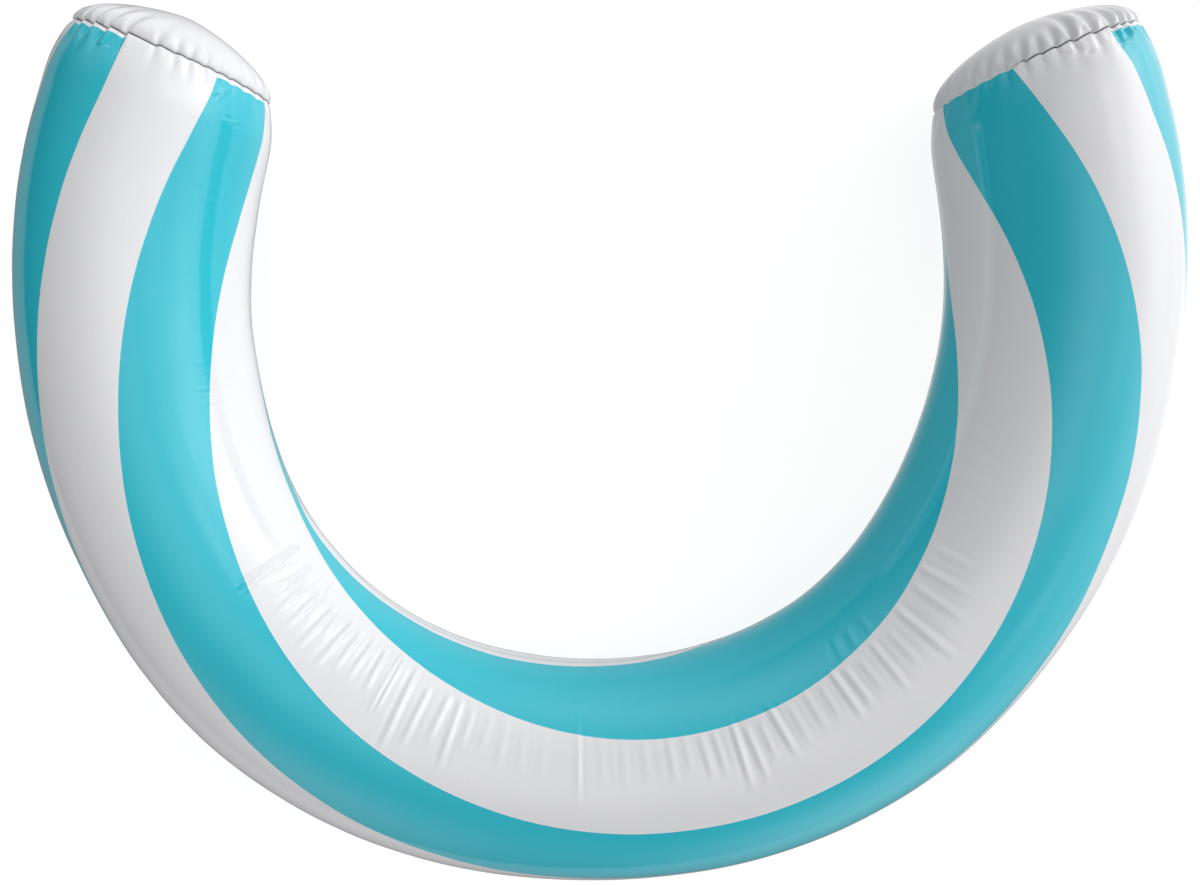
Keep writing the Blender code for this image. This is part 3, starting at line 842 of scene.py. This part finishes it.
def noise(tree, coords, scale, detail=2.0, rough=0.5, out="Fac"):
    n = tree.nodes.new("ShaderNodeTexNoise")
    n.inputs["Scale"].default_value = scale
    n.inputs["Detail"].default_value = detail
    n.inputs["Roughness"].default_value = rough
    tree.links.new(coords, n.inputs["Vector"])
    return n.outputs[out]


def spread_to(tree, value, low, high, a=0.3, b=0.7):
    m = tree.nodes.new("ShaderNodeMapRange")
    m.inputs["From Min"].default_value = a
    m.inputs["From Max"].default_value = b
    m.inputs["To Min"].default_value = low
    m.inputs["To Max"].default_value = high
    tree.links.new(value, m.inputs["Value"])
    return m.outputs["Result"]


def mix_colour(tree, fac, a, b):
    m = tree.nodes.new("ShaderNodeMix")
    m.data_type = "RGBA"
    tree.links.new(fac, m.inputs["Factor"])
    for value, name in ((a, "A"), (b, "B")):
        sock = [s for s in m.inputs if s.name == name and s.type == "RGBA"][0]
        if isinstance(value, tuple):
            sock.default_value = (*value, 1.0)
        else:
            tree.links.new(value, sock)
    return [s for s in m.outputs if s.type == "RGBA"][0]


def math_node(tree, kind, a, b=None):
    m = tree.nodes.new("ShaderNodeMath")
    m.operation = kind
    for i, v in enumerate((a, b)):
        if v is None:
            continue
        if isinstance(v, (int, float)):
            m.inputs[i].default_value = v
        else:
            tree.links.new(v, m.inputs[i])
    return m.outputs[0]


def vinyl(name, light, dark, rough=(0.15, 0.24), grain=0.02, peel=0.00006, coat=0.0, mottle=0.0):
    """Glossy film: slow colour drift, fine mottle in the ink, orange peel in the gloss."""
    mat, tree, shader = new_material(name)
    place = tree.nodes.new("ShaderNodeTexCoord").outputs["Object"]
    slow = noise(tree, place, 4.0, 3.0)
    colour = mix_colour(tree, spread_to(tree, slow, 0.0, 1.0), dark, light)
    fine = noise(tree, place, 520.0, 2.0, 0.6)
    shade = tree.nodes.new("ShaderNodeHueSaturation")
    tree.links.new(colour, shade.inputs["Color"])
    tree.links.new(spread_to(tree, fine, 1.0 - grain, 1.0 + grain, 0.25, 0.75), shade.inputs["Value"])
    tree.links.new(shade.outputs["Color"], shader.inputs["Base Color"])
    patch = noise(tree, place, 11.0, 4.0)
    tree.links.new(spread_to(tree, patch, rough[0], rough[1]), shader.inputs["Roughness"])
    shader.inputs["IOR"].default_value = 1.53
    shader.inputs["Coat Weight"].default_value = coat
    shader.inputs["Coat Roughness"].default_value = 0.08
    ripple = noise(tree, place, 240.0, 2.0)
    wide = noise(tree, place, 60.0, 2.0)
    height = math_node(tree, "ADD", ripple, math_node(tree, "MULTIPLY", wide, 1.6))
    bump = tree.nodes.new("ShaderNodeBump")
    bump.inputs["Strength"].default_value = 1.0
    bump.inputs["Distance"].default_value = peel
    tree.links.new(height, bump.inputs["Height"])
    tree.links.new(bump.outputs["Normal"], shader.inputs["Normal"])
    return mat


TURQUOISE = vinyl("turquoise_print", (0.030, 0.552, 0.679), (0.029, 0.536, 0.659), (0.09, 0.13), 0.035, 0.00003)
WHITE = vinyl("white_film", (0.862, 0.866, 0.890), (0.849, 0.852, 0.876), (0.09, 0.13), 0.018, 0.00003)
# the same white film as the tube, painted about 7% darker on the domes as painted shade
WHITE_CAP_SHADED = vinyl("white_cap_film_painted_shade", (0.800, 0.803, 0.832), (0.785, 0.788, 0.817), (0.10, 0.15), 0.018, 0.00003)
# dark grey painted in as shade: the thin dark line of the gap at the welds' lapped edges and of the crevice at the rims
WELD_PAINTED_SHADE = vinyl("weld_line_painted_shade", (0.420, 0.415, 0.430), (0.120, 0.115, 0.125), (0.30, 0.45), 0.05, 0.00003)


HOLE_AT = np.array((0.531192, 0.033248, 0.05345))
HOLE_AXES = np.array((
    (-0.2052211, -0.9787156, 0.0),
    (-0.4893579, 0.1026106, -0.8660254),
    (0.8475926, -0.1777267, -0.5),
))


def make_panel(name, front):
    """One film panel, cut from the tube's mesh along the two seams."""
    ink = INK if front else INK_BACK

    def mine(faces):
        total = WHERE[faces].sum(1)
        return total > 0 if front else total <= 0

    q, t = mine(QUADS), mine(TRIS)
    if not front:
        # the hole for the valve, whose edge the flange covers
        local = (POINTS - HOLE_AT) @ HOLE_AXES.T
        inside = (np.hypot(local[:, 0], local[:, 1]) < 0.0098) & (np.abs(local[:, 2]) < 0.02)
        out_q, out_t = inside[QUADS].any(1), inside[TRIS].any(1)
        q &= ~out_q
        t &= ~out_t
        # no corner of the hole's edge looks out past the flange
        rim = np.unique(np.concatenate([QUADS[out_q].ravel(), TRIS[out_t].ravel()]))
        far = np.hypot(local[rim, 0], local[rim, 1])
        rim, far = rim[far > 0.0160], far[far > 0.0160]
        k = (0.0160 / far)[:, None]
        moved = np.concatenate([local[rim, :2] * k, local[rim, 2:] * k ** 2], 1)
        POINTS[rim] = moved @ HOLE_AXES + HOLE_AT
    quads, tris_ = QUADS[q], TRIS[t]
    slots_q = stripe_slot(QUAD_PSI[q], QUAD_COL[q], ink[quads].sum(1) > 0, front)
    slots_t = stripe_slot(TRI_PSI[t], TRI_COL[t], ink[tris_].sum(1) > 0, front)
    face_col = np.concatenate([QUAD_COL[q], TRI_COL[t]])
    points, phi, along, where, turn_ = POINTS.copy(), PHI, ALONG, WHERE, TURN

    centre, _, out_dir = tube_frame(turn_)
    radial = out_dir * np.cos(phi * RAD)[:, None]
    radial[:, 2] = np.sin(phi * RAD)
    if front:
        # lying on the back panel's edge, it stands a film's thickness higher there
        near = 1 - step(2.6, 4.4, np.abs(where))
        points = points + radial * (FILM * near)[:, None]
    used = np.unique(np.concatenate([quads.ravel(), tris_.ravel()]))
    remap = -np.ones(len(points), int)
    remap[used] = np.arange(len(used))
    quads, tris_ = remap[quads], remap[tris_]
    pts, phi, along, radial = points[used], phi[used], along[used], radial[used]
    turn_, norm = turn_[used], NORMALS[used]
    sign = np.sign(np.einsum("ij,ij->i", norm, radial).mean())
    norm = norm * sign

    # the seam edges, as runs of points in order along the tube
    extra_p, extra_phi, extra_along, extra_q, extra_slot, extra_col, extra_n = [], [], [], [], [], [], []
    n = len(pts)
    for seam in ("outer", "inner"):
        line = remap[starts + ROW_OF[seam]]
        up = 1.0 if seam == "inner" else -1.0
        layers = [line]
        if front:
            # a bead that the weld pressed out, then the cut edge down to the back film; the bead and the cut edge take
            # slot 2, the dark grey painted shade of the lap's gap
            steps_ = [(0.10 * up, -FILM * 0.5), (0.38 * up, -FILM * 0.2), (0.50 * up, FILM * 0.9), (-0.8 * up, FILM * 1.6)]
            kinds = (2, 2, 2, 1)
        else:
            steps_ = [(-0.35 * up, FILM * 0.2), (-1.6 * up, FILM * 0.9), (-LAP * up, FILM * 1.0)]
            kinds = (1, 1, 1)
        for (move, sink), kind in zip(steps_, kinds):
            ph = phi[line] + move
            c2, _, o2 = tube_frame(turn_[line])
            d2 = o2 * np.cos(ph * RAD)[:, None]
            d2[:, 2] = np.sin(ph * RAD)
            if front:
                rr = np.einsum("ij,ij->i", pts[line] - c2 - [0, 0, TUBE_RADIUS], radial[line])
                base = pts[line] - radial[line] * rr[:, None] + d2 * (rr - sink)[:, None]
            else:
                base = tube_points(turn_[line], ph, CURL[used][line]) - d2 * sink
            idx = n + sum(len(x) for x in extra_p) + np.arange(len(line))
            extra_p.append(base); extra_phi.append(ph); extra_along.append(along[line])
            if front and sink > 0 and kind == 2:
                d2 = np.cross(d2, tube_frame(turn_[line])[1]) * (-1.0 if seam == "inner" else 1.0)    # the cut edge
            extra_n.append(d2)
            prev = layers[-1]
            strip = np.stack([prev[:-1], prev[1:], idx[1:], idx[:-1]], 1)
            flip = (seam == "outer")
            if front:
                strip = strip[:, ::-1] if flip else strip
            else:
                strip = strip if flip else strip[:, ::-1]
            extra_q.append(strip)
            extra_slot.append(np.full(len(strip), kind))
            extra_col.append(np.arange(len(line) - 1))
            layers.append(idx)
    pts = np.concatenate([pts] + extra_p)
    norm = np.concatenate([norm] + extra_n)
    phi = np.concatenate([phi] + extra_phi)
    along = np.concatenate([along] + extra_along)
    nq0 = len(quads)
    quads = np.concatenate([quads] + extra_q)
    slots_q = np.concatenate([slots_q] + extra_slot)
    face_col = np.concatenate([face_col[:nq0]] + extra_col + [face_col[nq0:]])

    seam0 = OUTER_SEAM if front else 183.0
    v = ((phi - seam0 + 20.0) % 360.0 - 20.0) * RAD * TUBE_RADIUS
    uv = np.stack([along, v], 1)
    parts = 2 if front else 3
    length = col_len[-1]
    cut = np.searchsorted(col_len, [length * k / parts for k in range(1, parts)])

    def spread(loops, nq, nt):
        col = np.concatenate([np.repeat(face_col[:nq], 4), np.repeat(face_col[nq:], 3)])
        part = np.searchsorted(cut, col, "right")
        low = np.concatenate([[0.0], col_len[cut]])[part]
        size = length / parts * 1.03
        high = (v.max() - v.min()) * 1.04
        scale = max(size, high * parts)
        x = (uv[loops, 0] - low) / scale + 0.004
        y = ((uv[loops, 1] - v.min()) + part * high) / scale + 0.004
        return np.stack([x * 0.99, y * 0.99], 1)

    mesh = film_mesh(name, pts, quads, tris_, slots_q, slots_t, uv, spread, norm)
    return mesh


front_mesh = make_panel("front_panel_film", True)
back_mesh = make_panel("back_panel_film", False)
front = add_piece("front_panel_film", front_mesh, [TURQUOISE, WHITE, WELD_PAINTED_SHADE])
back = add_piece("back_panel_film", back_mesh, [TURQUOISE, WHITE, WELD_PAINTED_SHADE])
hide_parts("front_skin")
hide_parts("back_skin")


# ---------------------------------------------------------------- domed end caps
def end_frame(side):
    t = np.array(END_TURN[side] * (1 if side else -1))
    centre, along, out = tube_frame(t)
    axis = along * (1.0 if side else -1.0)
    return centre + np.array([0, 0, TUBE_RADIUS]), axis, out


CAP_STEPS = 360


def cap_mesh(name, side):
    centre, axis, out = end_frame(side)
    phi1 = np.arange(CAP_STEPS) * 360.0 / CAP_STEPS
    # distance up the dome from the rim, in metres; below 0 is the hidden skirt
    s = [-0.006, -0.003, -0.0012, 0.0, 0.0006, 0.0012, 0.0019, 0.0027, 0.0036, 0.0046]
    total_len = 0.0
    tau = np.linspace(0, math.pi / 2, 400)
    rr = RIM[side] * np.cos(tau) ** DOME_POWER[side]
    hh = DOME_H[side] * np.sin(tau)
    arc = np.concatenate([[0], np.cumsum(np.hypot(np.diff(rr), np.diff(hh)))])
    total_len = arc[-1]
    while s[-1] < total_len - 0.0085:
        s.append(s[-1] + min(0.0011 + s[-1] * 0.03, 0.0040))
    s = np.array(s)
    rows = []
    for x in s:
        ph = phi1
        mm = max(x, 0.0)
        r0 = float(np.interp(mm, arc, rr))
        h0 = float(np.interp(mm, arc, hh))
        r1, h1 = float(np.interp(mm + 5e-4, arc, rr)), float(np.interp(mm + 5e-4, arc, hh))
        tr, th = r1 - r0, h1 - h0
        norm = math.hypot(tr, th)
        nr, nh = th / norm, -tr / norm
        full = np.full(CAP_STEPS, mm)
        inner = step(1.0, 0.55, mm / total_len)
        move = gather_field(side, ph, full, True) * inner
        move = move + 0.0003 * np.sin(3 * ph * RAD + 1.3 + side) * np.sin(math.pi * mm / total_len)
        pinch = crevice(side, ph, mm * 1000.0) * 0.001
        r = r0 + nr * move - pinch
        h = h0 + nh * move + rim_shift(side, ph, full * 1.0) * (1.0 if mm > 0 else 1.0)
        if x < 0:
            r = r - (0.0012 if x < -0.002 else 0.0006) - 0.0012
            h = h + x
        rows.append((r, h))
    pts = []
    a = phi1 * RAD
    for r, h in rows:
        p = centre + np.outer(r * np.cos(a), out) + np.outer(h, axis)
        p[:, 2] += r * np.sin(a)
        pts.append(p)
    apex = centre + axis * (DOME_H[side])
    pts = np.concatenate(pts + [apex[None, :]])
    n = CAP_STEPS
    quads = []
    j = np.arange(n)
    j2 = (j + 1) % n
    for i in range(len(rows) - 1):
        q = np.stack([i * n + j, i * n + j2, (i + 1) * n + j2, (i + 1) * n + j], 1)
        quads.append(q)
    quads = np.concatenate(quads)
    last = (len(rows) - 1) * n
    tris_ = np.stack([last + j, last + j2, np.full(n, len(pts) - 1)], 1)
    # the ring runs anticlockwise seen along the axis on one side only
    handed = float(np.dot(np.cross(out, [0, 0, 1]), axis))
    if handed < 0:
        quads, tris_ = quads[:, ::-1], tris_[:, ::-1]
    disc = np.concatenate([np.repeat(s + 0.006, n), [total_len + 0.006]])
    ang = np.concatenate([np.tile(a, len(rows)), [0.0]])
    far = (total_len + 0.006 - disc)
    uv = np.stack([far * np.cos(ang), far * np.sin(ang)], 1)
    size = 2.02 * (total_len + 0.006)

    def spread(loops, nq, nt):
        return uv[loops] / size + 0.5

    # the skirt and the row at the rim take the dark grey painted shade of the crevice, except where the right weld lies
    # flat
    weld = np.repeat((s[:-1] < 0.0005).astype(int), n)
    if side:
        weld[np.tile(np.abs(wrap(phi1 - 162.0)) < 46.0, len(s) - 1)] = 0
    mesh = film_mesh(name, pts, quads, tris_, weld, np.zeros(len(tris_)), uv, spread)
    return mesh


for side, name, node in ((0, "left_cap_film", "left_end_cap"), (1, "right_cap_film", "right_end_cap")):
    cap = add_piece(name, cap_mesh(name, side), [WHITE_CAP_SHADED, WELD_PAINTED_SHADE])
    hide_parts(node)

# ---------------------------------------------------------------- the valve, under the right arm
MM = 0.001
VALVE_AT, VALVE_AXES = HOLE_AT, HOLE_AXES
LIP_TOP, HEAD_T = 1.2, 1.8                  # the stem's lip and the plug's head, in mm


def film_drop(x, y):
    """How far the round film falls away from the valve's flat frame, in mm."""
    return y * y / (2 * 106.9) + x * x / (2 * 640.0)


def fillet(profile, radius, closed, n=4):
    """The profile with its corners rounded."""
    pts = [np.array(p, float) for p in profile]
    out = []
    for i, p in enumerate(pts):
        if not closed and i in (0, len(pts) - 1):
            out.append(p)
            continue
        a, b = pts[i - 1] - p, pts[(i + 1) % len(pts)] - p
        la, lb = np.linalg.norm(a), np.linalg.norm(b)
        cut = min(radius, 0.45 * la, 0.45 * lb)
        start, end = p + a / la * cut, p + b / lb * cut
        for k in range(n + 1):
            u = k / n
            out.append((1 - u) ** 2 * start + 2 * u * (1 - u) * p + u * u * end)
    return out


def fine(profile, longest=0.8):
    """Long runs cut up, so that they can be shaped."""
    out = []
    for a, b in zip(profile, profile[1:]):
        n = max(1, int(np.linalg.norm(np.subtract(b, a)) / longest))
        out += [np.array(a) + (np.array(b) - np.array(a)) * k / n for k in range(n)]
    return out + [np.array(profile[-1])]


def valve_mesh(name, rings, shape=None):
    """Joins rings of points (in mm, in the valve's frame) into a mesh in the row frame."""
    n = len(rings[0])
    pts = np.concatenate(rings)
    if shape is not None:
        pts = shape(pts)
    j = np.arange(n)
    j2 = (j + 1) % n
    faces = []
    for i in range(len(rings) - 1):
        faces += np.stack([i * n + j, i * n + j2, (i + 1) * n + j2, (i + 1) * n + j], 1).tolist()
    mesh = bpy.data.meshes.new(name)
    mesh.from_pydata((VALVE_AT + pts * MM @ VALVE_AXES).tolist(), [], faces)
    bm = bmesh.new()
    bm.from_mesh(mesh)
    bmesh.ops.remove_doubles(bm, verts=bm.verts, dist=1e-7)
    bmesh.ops.holes_fill(bm, edges=[e for e in bm.edges if e.is_boundary])
    bmesh.ops.recalc_face_normals(bm, faces=bm.faces)
    bm.to_mesh(mesh)
    bm.free()
    mesh.shade_smooth()
    return mesh


def lathe(name, profile, segments=96, radius=0.25, closed=True, shape=None, centre=(0.0, 0.0)):
    outline = fillet(profile, radius, closed)
    if closed:
        outline.append(outline[0])
    outline = fine(outline)
    a = np.arange(segments) * 2 * math.pi / segments
    rings = [np.stack([centre[0] + r * np.cos(a), centre[1] + r * np.sin(a), np.full(segments, z)], 1)
             for r, z in outline]
    return valve_mesh(name, rings, shape)


def flange_shape(p):
    """Lies along the round film, with the knurled print of the welding tool in its rim."""
    x, y, z = p.T
    r = np.hypot(x, y)
    a = np.arctan2(y, x)
    ring = np.exp(-((r - 15.4) / 1.3) ** 4) * (z > 0.8)
    z = z - ring * (0.16 + 0.10 * np.cos(60 * a) * np.cos((r - 15.4) * 2 * math.pi / 1.3))
    z = z + 0.05 * np.sin(3 * a + 0.7) * step(10.5, 17.0, r)
    z = z - film_drop(x, y) * step(9.4, 12.0, r)
    return np.stack([x, y, z], 1)


VALVE_VINYL = vinyl("valve_vinyl", (0.745, 0.775, 0.800), (0.700, 0.735, 0.765), (0.26, 0.36), 0.03, 0.00005)
VALVE_VINYL.node_tree.nodes["Principled BSDF"].inputs["Subsurface Weight"].default_value = 0.25
VALVE_VINYL.node_tree.nodes["Principled BSDF"].inputs["Subsurface Radius"].default_value = (0.0016, 0.0018, 0.002)
VALVE_VINYL.node_tree.nodes["Principled BSDF"].inputs["Subsurface Scale"].default_value = 1.0

flange = add_piece("valve_flange_disc", lathe("valve_flange_disc", [
    (8.6, 1.9), (8.8, 2.0), (9.6, 2.0), (9.8, 1.8), (10.1, 1.35), (11.2, 1.3), (14.0, 1.3), (16.8, 1.3),
    (17.7, 1.0), (18.0, 0.6), (18.0, 0.25), (10.4, 0.25), (9.8, -0.4), (9.8, -11.8), (9.6, -12.0), (8.6, -12.0),
], 240, 0.3, shape=flange_shape), [VALVE_VINYL])
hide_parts("valve_flange")


def lip_shape(p):
    """A soft moulding: its lip is a touch out of round, with a flash line."""
    x, y, z = p.T
    r = np.hypot(x, y)
    a = np.arctan2(y, x)
    z = z + 0.05 * np.sin(2 * a + 0.4) * step(5.5, 8.0, r) * (z > -0.4)
    grow = 1.0 + 0.006 * np.exp(-(np.sin(a) / 0.06) ** 2) * step(4.2, 5.0, r)
    return np.stack([x * grow, y * grow, z], 1)


stem = add_piece("valve_stem_tube", lathe("valve_stem_tube", [
    (3.4, 0.75), (3.75, 1.2), (5.6, 1.2), (5.9, 1.08), (6.6, 1.08), (6.9, 1.2), (7.9, 1.15), (8.2, 0.85),
    (8.2, 0.0), (7.9, -0.25), (5.5, -0.3), (4.95, -0.9), (4.9, -6.0), (4.98, -6.4), (4.9, -6.8), (4.9, -13.0),
    (4.98, -13.4), (4.9, -13.8), (4.9, -23.8), (5.4, -24.4), (8.9, -24.5), (9.1, -24.8), (9.1, -25.8),
    (8.9, -26.0), (3.6, -26.0), (3.4, -25.7),
], 120, 0.25, shape=lip_shape), [VALVE_VINYL], "stem")
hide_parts("valve_stem")

HEAD_LOW = LIP_TOP + 0.3
plug = add_piece("valve_plug_cap", lathe("valve_plug_cap", [
    (0.0, HEAD_LOW + 1.35), (2.6, HEAD_LOW + 1.38), (3.6, HEAD_LOW + 1.75), (5.1, HEAD_LOW + 1.78),
    (5.9, HEAD_LOW + 1.35), (6.0, HEAD_LOW + 0.4), (5.7, HEAD_LOW), (3.6, HEAD_LOW), (3.1, HEAD_LOW - 0.4),
    (3.1, HEAD_LOW - 2.2), (3.3, HEAD_LOW - 2.7), (3.3, HEAD_LOW - 3.3), (3.08, HEAD_LOW - 3.9),
    (2.95, HEAD_LOW - 6.3), (2.5, HEAD_LOW - 8.1), (1.9, HEAD_LOW - 8.5), (0.0, HEAD_LOW - 8.5),
], 96, 0.3, closed=False), [VALVE_VINYL], "plug")
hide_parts("valve_plug")

FLAP_TOP = -26.3


def flap_shape(p):
    """The check flap: a disc with a tab out to its hinge on the foot's face."""
    x, y, z = p.T
    a = np.arctan2(y, x)
    r = np.hypot(x, y)
    tab = np.exp(-(a / 0.42) ** 4) * step(2.6, 4.2, r)
    return np.stack([x + tab * 2.2, y * (1 + tab * 0.12), z + 0.04 * np.cos(3 * a) * r / 4.2], 1)


flap = add_piece("valve_check_flap", lathe("valve_check_flap", [
    (0.0, FLAP_TOP), (4.05, FLAP_TOP), (4.2, FLAP_TOP - 0.15), (4.2, FLAP_TOP - 0.65),
    (4.05, FLAP_TOP - 0.8), (0.0, FLAP_TOP - 0.8),
], 96, 0.15, closed=False, shape=flap_shape), [VALVE_VINYL], "flap")
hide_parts("valve_flap")

# The strap leaves the lip, loops out over the collar and comes back onto the plug's head.
STRAP_LOW = 2.0 + 0.3 + 0.4 + 0.1
STRAP_HIGH = HEAD_LOW + HEAD_T + 0.3 + 0.4 + 0.3
LOOP_R = (STRAP_HIGH - STRAP_LOW) / 2
course = [(7.1, 1.8), (7.4, 2.1), (8.2, STRAP_LOW), (10.5, STRAP_LOW), (13.0, STRAP_LOW)]
for i in range(1, 8):
    a = -math.pi / 2 + math.pi * i / 8
    course.append((14.0 + LOOP_R * 1.6 * math.cos(a), STRAP_LOW + LOOP_R + LOOP_R * math.sin(a)))
course += [(13.0, STRAP_HIGH), (10.0, STRAP_HIGH), (7.2, STRAP_HIGH - 0.02), (5.0, STRAP_HIGH - 0.12), (3.4, STRAP_HIGH - 0.35)]


def smooth_path(pts, per=8):
    pts = [np.array(q, float) for q in pts]
    pts = [2 * pts[0] - pts[1]] + pts + [2 * pts[-1] - pts[-2]]
    out = []
    for i in range(1, len(pts) - 2):
        p0, p1, p2, p3 = pts[i - 1:i + 3]
        for k in range(per):
            u = k / per
            out.append(0.5 * (2 * p1 + (p2 - p0) * u + (2 * p0 - 5 * p1 + 4 * p2 - p3) * u * u
                              + (3 * p1 - p0 - 3 * p2 + p3) * u ** 3))
    return np.array(out + [pts[-2]])


path = smooth_path(course)
run = np.concatenate([[0.0], np.cumsum(np.linalg.norm(np.diff(path, axis=0), axis=1))])
heading = np.gradient(path, axis=0)
heading /= np.linalg.norm(heading, axis=1)[:, None]
rings = []
corner = np.arange(24) * 2 * math.pi / 24
for (px, pz), (hx, hz), at in zip(path, heading, run):
    root = np.exp(-(at / 1.6) ** 2) + np.exp(-((run[-1] - at) / 1.8) ** 2)      # wider where it is moulded on
    wide, thick = 1.5 * (1 + 0.35 * root), 0.4 * (1 - 0.10 * math.sin(math.pi * at / run[-1]))
    w = wide * np.sign(np.cos(corner)) * np.abs(np.cos(corner)) ** 0.5
    h = thick * np.sign(np.sin(corner)) * np.abs(np.sin(corner)) ** 0.5
    rings.append(np.stack([px - hz * h, w, pz + hx * h], 1))
strap_mesh = valve_mesh("valve_plug_strap", rings)
strap = bpy.data.objects.new("valve_plug_strap", strap_mesh)
bpy.context.scene.collection.objects.link(strap)
strap_mesh.materials.append(VALVE_VINYL)
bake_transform(strap)
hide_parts("valve_strap")

# ---------------------------------------------------------------- camera
camera_data = bpy.data.cameras.new("camera")
camera_data.lens = 28.5
camera_data.sensor_width = 36.0
camera_data.clip_start, camera_data.clip_end = 0.05, 60.0
camera = bpy.data.objects.new("camera", camera_data)
bpy.context.scene.collection.objects.link(camera)
yaw, pitch, roll = 1.08 * RAD, -4.54 * RAD, 1.20 * RAD
camera.matrix_world = (
    Matrix.Translation((0.02724, 0.08852, 1.05193))
    @ Matrix.Rotation(yaw, 4, "Y") @ Matrix.Rotation(pitch, 4, "X") @ Matrix.Rotation(roll, 4, "Z")
)
bpy.context.scene.camera = camera

# ---------------------------------------------------------------- floor and light
floor_mesh = bpy.data.meshes.new("floor")
# a plain pale floor that runs up into a pale dome, so it has no edge in any view
dome = [(14.0 * math.cos(h * RAD), 14.0 * math.sin(h * RAD) - 0.0004) for h in (0, 1, 3, 6, 10, 20, 35, 50, 65, 80)]
dome_verts = [(r * math.cos(a * RAD), r * math.sin(a * RAD), z) for r, z in dome for a in range(0, 360, 6)]
dome_faces = [list(range(60))]
dome_faces += [[60 * k + j, 60 * k + (j + 1) % 60, 60 * k + 60 + (j + 1) % 60, 60 * k + 60 + j]
               for k in range(len(dome) - 1) for j in range(60)]
dome_faces.append([60 * (len(dome) - 1) + j for j in range(60)])
floor_mesh.from_pydata(dome_verts, [], dome_faces)
floor = bpy.data.objects.new("floor", floor_mesh)
bpy.context.scene.collection.objects.link(floor)
floor_mat, tree, shader = new_material("pale_floor")
place = tree.nodes.new("ShaderNodeTexCoord").outputs["Object"]
speck = noise(tree, place, 30.0, 4.0)
tree.links.new(mix_colour(tree, spread_to(tree, speck, 0.0, 1.0), (0.245, 0.245, 0.25), (0.255, 0.255, 0.255)), shader.inputs["Base Color"])
shader.inputs["Roughness"].default_value = 0.9
shader.inputs["Specular IOR Level"].default_value = 0.0
shader.inputs["Emission Color"].default_value = (1.0, 1.0, 1.0, 1.0)
shader.inputs["Emission Strength"].default_value = 0.86
floor_mesh.materials.append(floor_mat)
# The floor is a bright sheet behind the float; the float itself is lit by the soft panels
# round it alone, those below it too.
floor.visible_diffuse = False
floor.visible_glossy = False
floor.visible_shadow = False

# Soft round panels all about the float: height and bearing of each in degrees, how small
# it is, and how bright.
LOW_PANELS = (
    (-12, 0, 6, 0.14), (-12, 45, 6, 0.49), (-12, 90, 6, 0.14), (-12, 135, 6, 0.30), (-12, 180, 6, 0.30),
    (-12, 225, 6, 0.41), (-12, 270, 6, 0.27), (-12, 315, 6, 0.19), (-42, 0, 12, 0.68), (-42, 45, 12, 0.56),
    (-42, 90, 12, 0.35), (-70, 0, 12, 0.45), (-70, 90, 12, 0.20), (-70, 180, 12, 0.25),
    (-70, 270, 12, 0.07),
)
PANELS = (
    (90, 0, 12, 0.54), (74, 0, 12, 0.89), (50, 0, 90, 0.53), (50, 30, 90, 1.57), (34, 20, 90, 1.34),
    (34, 330, 90, 0.77), (28, 0, 12, 0.80), (28, 30, 12, 0.91), (28, 120, 12, 1.10), (28, 210, 12, 0.48),
    (28, 240, 12, 0.70), (20, 10, 90, 0.67), (20, 25, 90, 0.70), (20, 40, 90, 0.76), (20, 55, 90, 0.41),
    (8, 35, 90, 0.94), (8, 50, 90, 2.01), (5, 0, 12, 0.86), (5, 30, 12, 1.58), (5, 90, 12, 1.28),
    (5, 240, 12, 0.48), (5, 300, 12, 1.04), (5, 330, 12, 0.41),
)
world = bpy.data.worlds.new("studio")
bpy.context.scene.world = world
world.use_nodes = True
sky = world.node_tree
background = sky.nodes["Background"]
background.inputs["Color"].default_value = (1.0, 1.0, 1.0, 1.0)
facing = sky.nodes.new("ShaderNodeTexCoord").outputs["Generated"]


def glow_of(panels):
    glow = None
    for high, bearing, small, bright in panels:
        dot = sky.nodes.new("ShaderNodeVectorMath")
        dot.operation = "DOT_PRODUCT"
        dot.inputs[1].default_value = (math.cos(bearing * RAD) * math.cos(high * RAD),
                                       math.sin(bearing * RAD) * math.cos(high * RAD), math.sin(high * RAD))
        sky.links.new(facing, dot.inputs[0])
        near = math_node(sky, "MULTIPLY", math_node(sky, "SUBTRACT", dot.outputs["Value"], 1.0), float(small))
        lit = math_node(sky, "MULTIPLY", math_node(sky, "EXPONENT", near), float(bright))
        glow = lit if glow is None else math_node(sky, "ADD", glow, lit)
    return glow


# The panels below the float end at one crisp line, which the gloss shows along its outer side.
level = sky.nodes.new("ShaderNodeSeparateXYZ")
sky.links.new(facing, level.inputs[0])
sheet = sky.nodes.new("ShaderNodeMapRange")
sheet.interpolation_type = "SMOOTHSTEP"
sheet.inputs["From Min"].default_value = -0.125
sheet.inputs["From Max"].default_value = -0.170
sky.links.new(level.outputs["Z"], sheet.inputs["Value"])
below = math_node(sky, "MULTIPLY", glow_of(LOW_PANELS), sheet.outputs["Result"])
sky.links.new(math_node(sky, "ADD", glow_of(PANELS), below), background.inputs["Strength"])

bpy.context.scene.view_settings.view_transform = "Standard"
